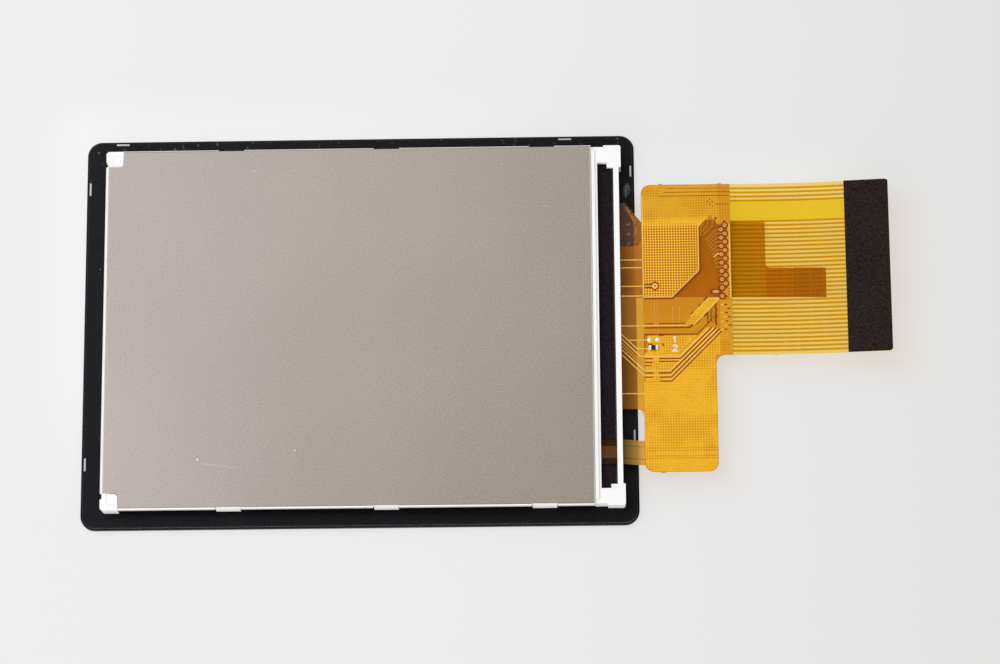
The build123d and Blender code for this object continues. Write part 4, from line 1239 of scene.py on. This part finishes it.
class DISPLAY_OT_solder(bpy.types.Operator):
    """Rounded solder on the two bare pads"""

    bl_idname = "display.solder"
    bl_label = "Solder"

    def execute(self, context):
        look = context.scene.display_flex
        low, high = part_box("solder_pads")
        spread = Vector((look.solder_spread, 0.0, 0.0))
        width = Vector((look.solder_width, 0.0, 0.0))
        across = Vector((0.0, high.y - low.y, 0.0))
        corners = [low - spread, Vector((high.x, low.y, low.z)) + spread - width]
        boxes = [(corner, corner + width + across) for corner in corners]
        bright = fine_finish("solder", (0.88, 0.88, 0.87), 0.3, depth=0.01, metallic=0.35)
        beads = [bead(box, look.solder_height, square=3.0, ripple=0.06) for box in boxes]
        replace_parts(add_piece("solder_beads", bright, loops=beads, capped=True), "solder_pads")
        return {"FINISHED"}


class DISPLAY_OT_glue(bpy.types.Operator):
    """Dab of grey glue beside the root of the touch flex circuit, drawn out towards it"""

    bl_idname = "display.glue"
    bl_label = "Glue"

    def execute(self, context):
        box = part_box("glue_dab")
        height = box[1].z - box[0].z
        rough = {"spread": 0.9, "speckle": 3.0, "gloss": 0.4}
        grey = fine_finish("grey glue", (0.05, 0.048, 0.048), 0.25, 0.35, 0.03, **rough)
        drop = bead(box, height, square=2.2, ripple=0.04, taper=0.6, lean=0.45)
        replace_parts(add_piece("glue_drop", grey, loops=[drop], capped=True), "glue_dab")
        return {"FINISHED"}


class DISPLAY_OT_stage(bpy.types.Operator):
    """Floor, soft light and the camera at the photograph's angle"""

    bl_idname = "display.stage"
    bl_label = "Stage"

    def execute(self, context):
        scene = context.scene
        look = scene.display_stage
        scene.view_settings.view_transform = "Standard"
        self.floor(look)
        self.sky(scene, look)
        self.lamp(scene, "key", look.key_power, look.key_size, look.key_place, look.key_colour)
        self.lamp(scene, "fill", look.fill_power, look.fill_size, look.fill_place, look.sky_colour)
        self.camera(scene, look)
        return {"FINISHED"}

    def floor(self, look):
        """A flat grid just under the glass."""
        side = np.linspace(-FLOOR_HALF, FLOOR_HALF, 3)
        x, y = np.meshgrid(side, side, indexing="ij")
        grid = np.stack([x, y, np.full_like(x, -FLOOR_DROP)], axis=2)
        floor = add_mesh("floor", floor_finish("pale floor", look), [grid])

    def sky(self, scene, look):
        """Even light from all round."""
        world = bpy.data.worlds.new("soft sky")
        world.use_nodes = True
        sockets = world.node_tree.nodes["Background"].inputs
        sockets["Color"].default_value = rgba(look.sky_colour)
        sockets["Strength"].default_value = look.sky_level
        scene.world = world

    def lamp(self, scene, name, power, size, place, colour):
        """A square lamp that faces the camera's aim."""
        light = bpy.data.lights.new(name, "AREA")
        light.energy = power
        light.color = colour
        light.size = size
        lamp = add_object(name, light)
        lamp.location = place
        aim = Vector(scene.display_stage.camera_aim) - Vector(place)
        lamp.rotation_euler = aim.to_track_quat("-Z", "Y").to_euler()

    def camera(self, scene, look):
        """The camera stands back from its aim along its own axis."""
        data = bpy.data.cameras.new("camera")
        data.lens = look.camera_lens
        data.sensor_width = CAMERA_SENSOR
        data.clip_start = CAMERA_NEAR
        camera = add_object("camera", data)
        turn = Euler(look.camera_turn)
        back = turn.to_matrix() @ Vector((0.0, 0.0, look.camera_distance))
        camera.location = Vector(look.camera_aim) + back
        camera.rotation_euler = turn
        scene.camera = camera


OPERATORS = (
    DISPLAY_OT_panel, DISPLAY_OT_backlight, DISPLAY_OT_flex, DISPLAY_OT_pours, DISPLAY_OT_traces,
    DISPLAY_OT_vias, DISPLAY_OT_bond, DISPLAY_OT_numerals, DISPLAY_OT_solder, DISPLAY_OT_glue,
    DISPLAY_OT_stage,
)
SETTINGS = {
    "display_panel": PanelSettings,
    "display_backlight": BacklightSettings,
    "display_flex": FlexSettings,
    "display_stage": StageSettings,
}


class DISPLAY_PT_looks(bpy.types.Panel):
    """Lists the operators and their settings"""

    bl_idname = "DISPLAY_PT_looks"
    bl_label = "Display Module"
    bl_space_type = "VIEW_3D"
    bl_region_type = "UI"
    bl_category = "Display Module"

    def draw(self, context):
        for operator in OPERATORS:
            self.layout.operator(operator.bl_idname)
        for name, group in SETTINGS.items():
            box = self.layout.box()
            for key in group.__annotations__:
                box.prop(getattr(context.scene, name), key)


def register():
    for name, group in SETTINGS.items():
        bpy.utils.register_class(group)
        setattr(bpy.types.Scene, name, PointerProperty(type=group))
    for operator in OPERATORS:
        bpy.utils.register_class(operator)
    bpy.utils.register_class(DISPLAY_PT_looks)


def unregister():
    bpy.utils.unregister_class(DISPLAY_PT_looks)
    for operator in reversed(OPERATORS):
        bpy.utils.unregister_class(operator)
    for name, group in SETTINGS.items():
        delattr(bpy.types.Scene, name)
        bpy.utils.unregister_class(group)


def main():
    register()
    bpy.ops.display.panel()
    bpy.ops.display.backlight()
    bpy.ops.display.flex()
    bpy.ops.display.pours()
    bpy.ops.display.traces()
    bpy.ops.display.vias()
    bpy.ops.display.bond()
    bpy.ops.display.numerals()
    bpy.ops.display.solder()
    bpy.ops.display.glue()
    bpy.ops.display.stage()


if __name__ == "__main__":
    main()
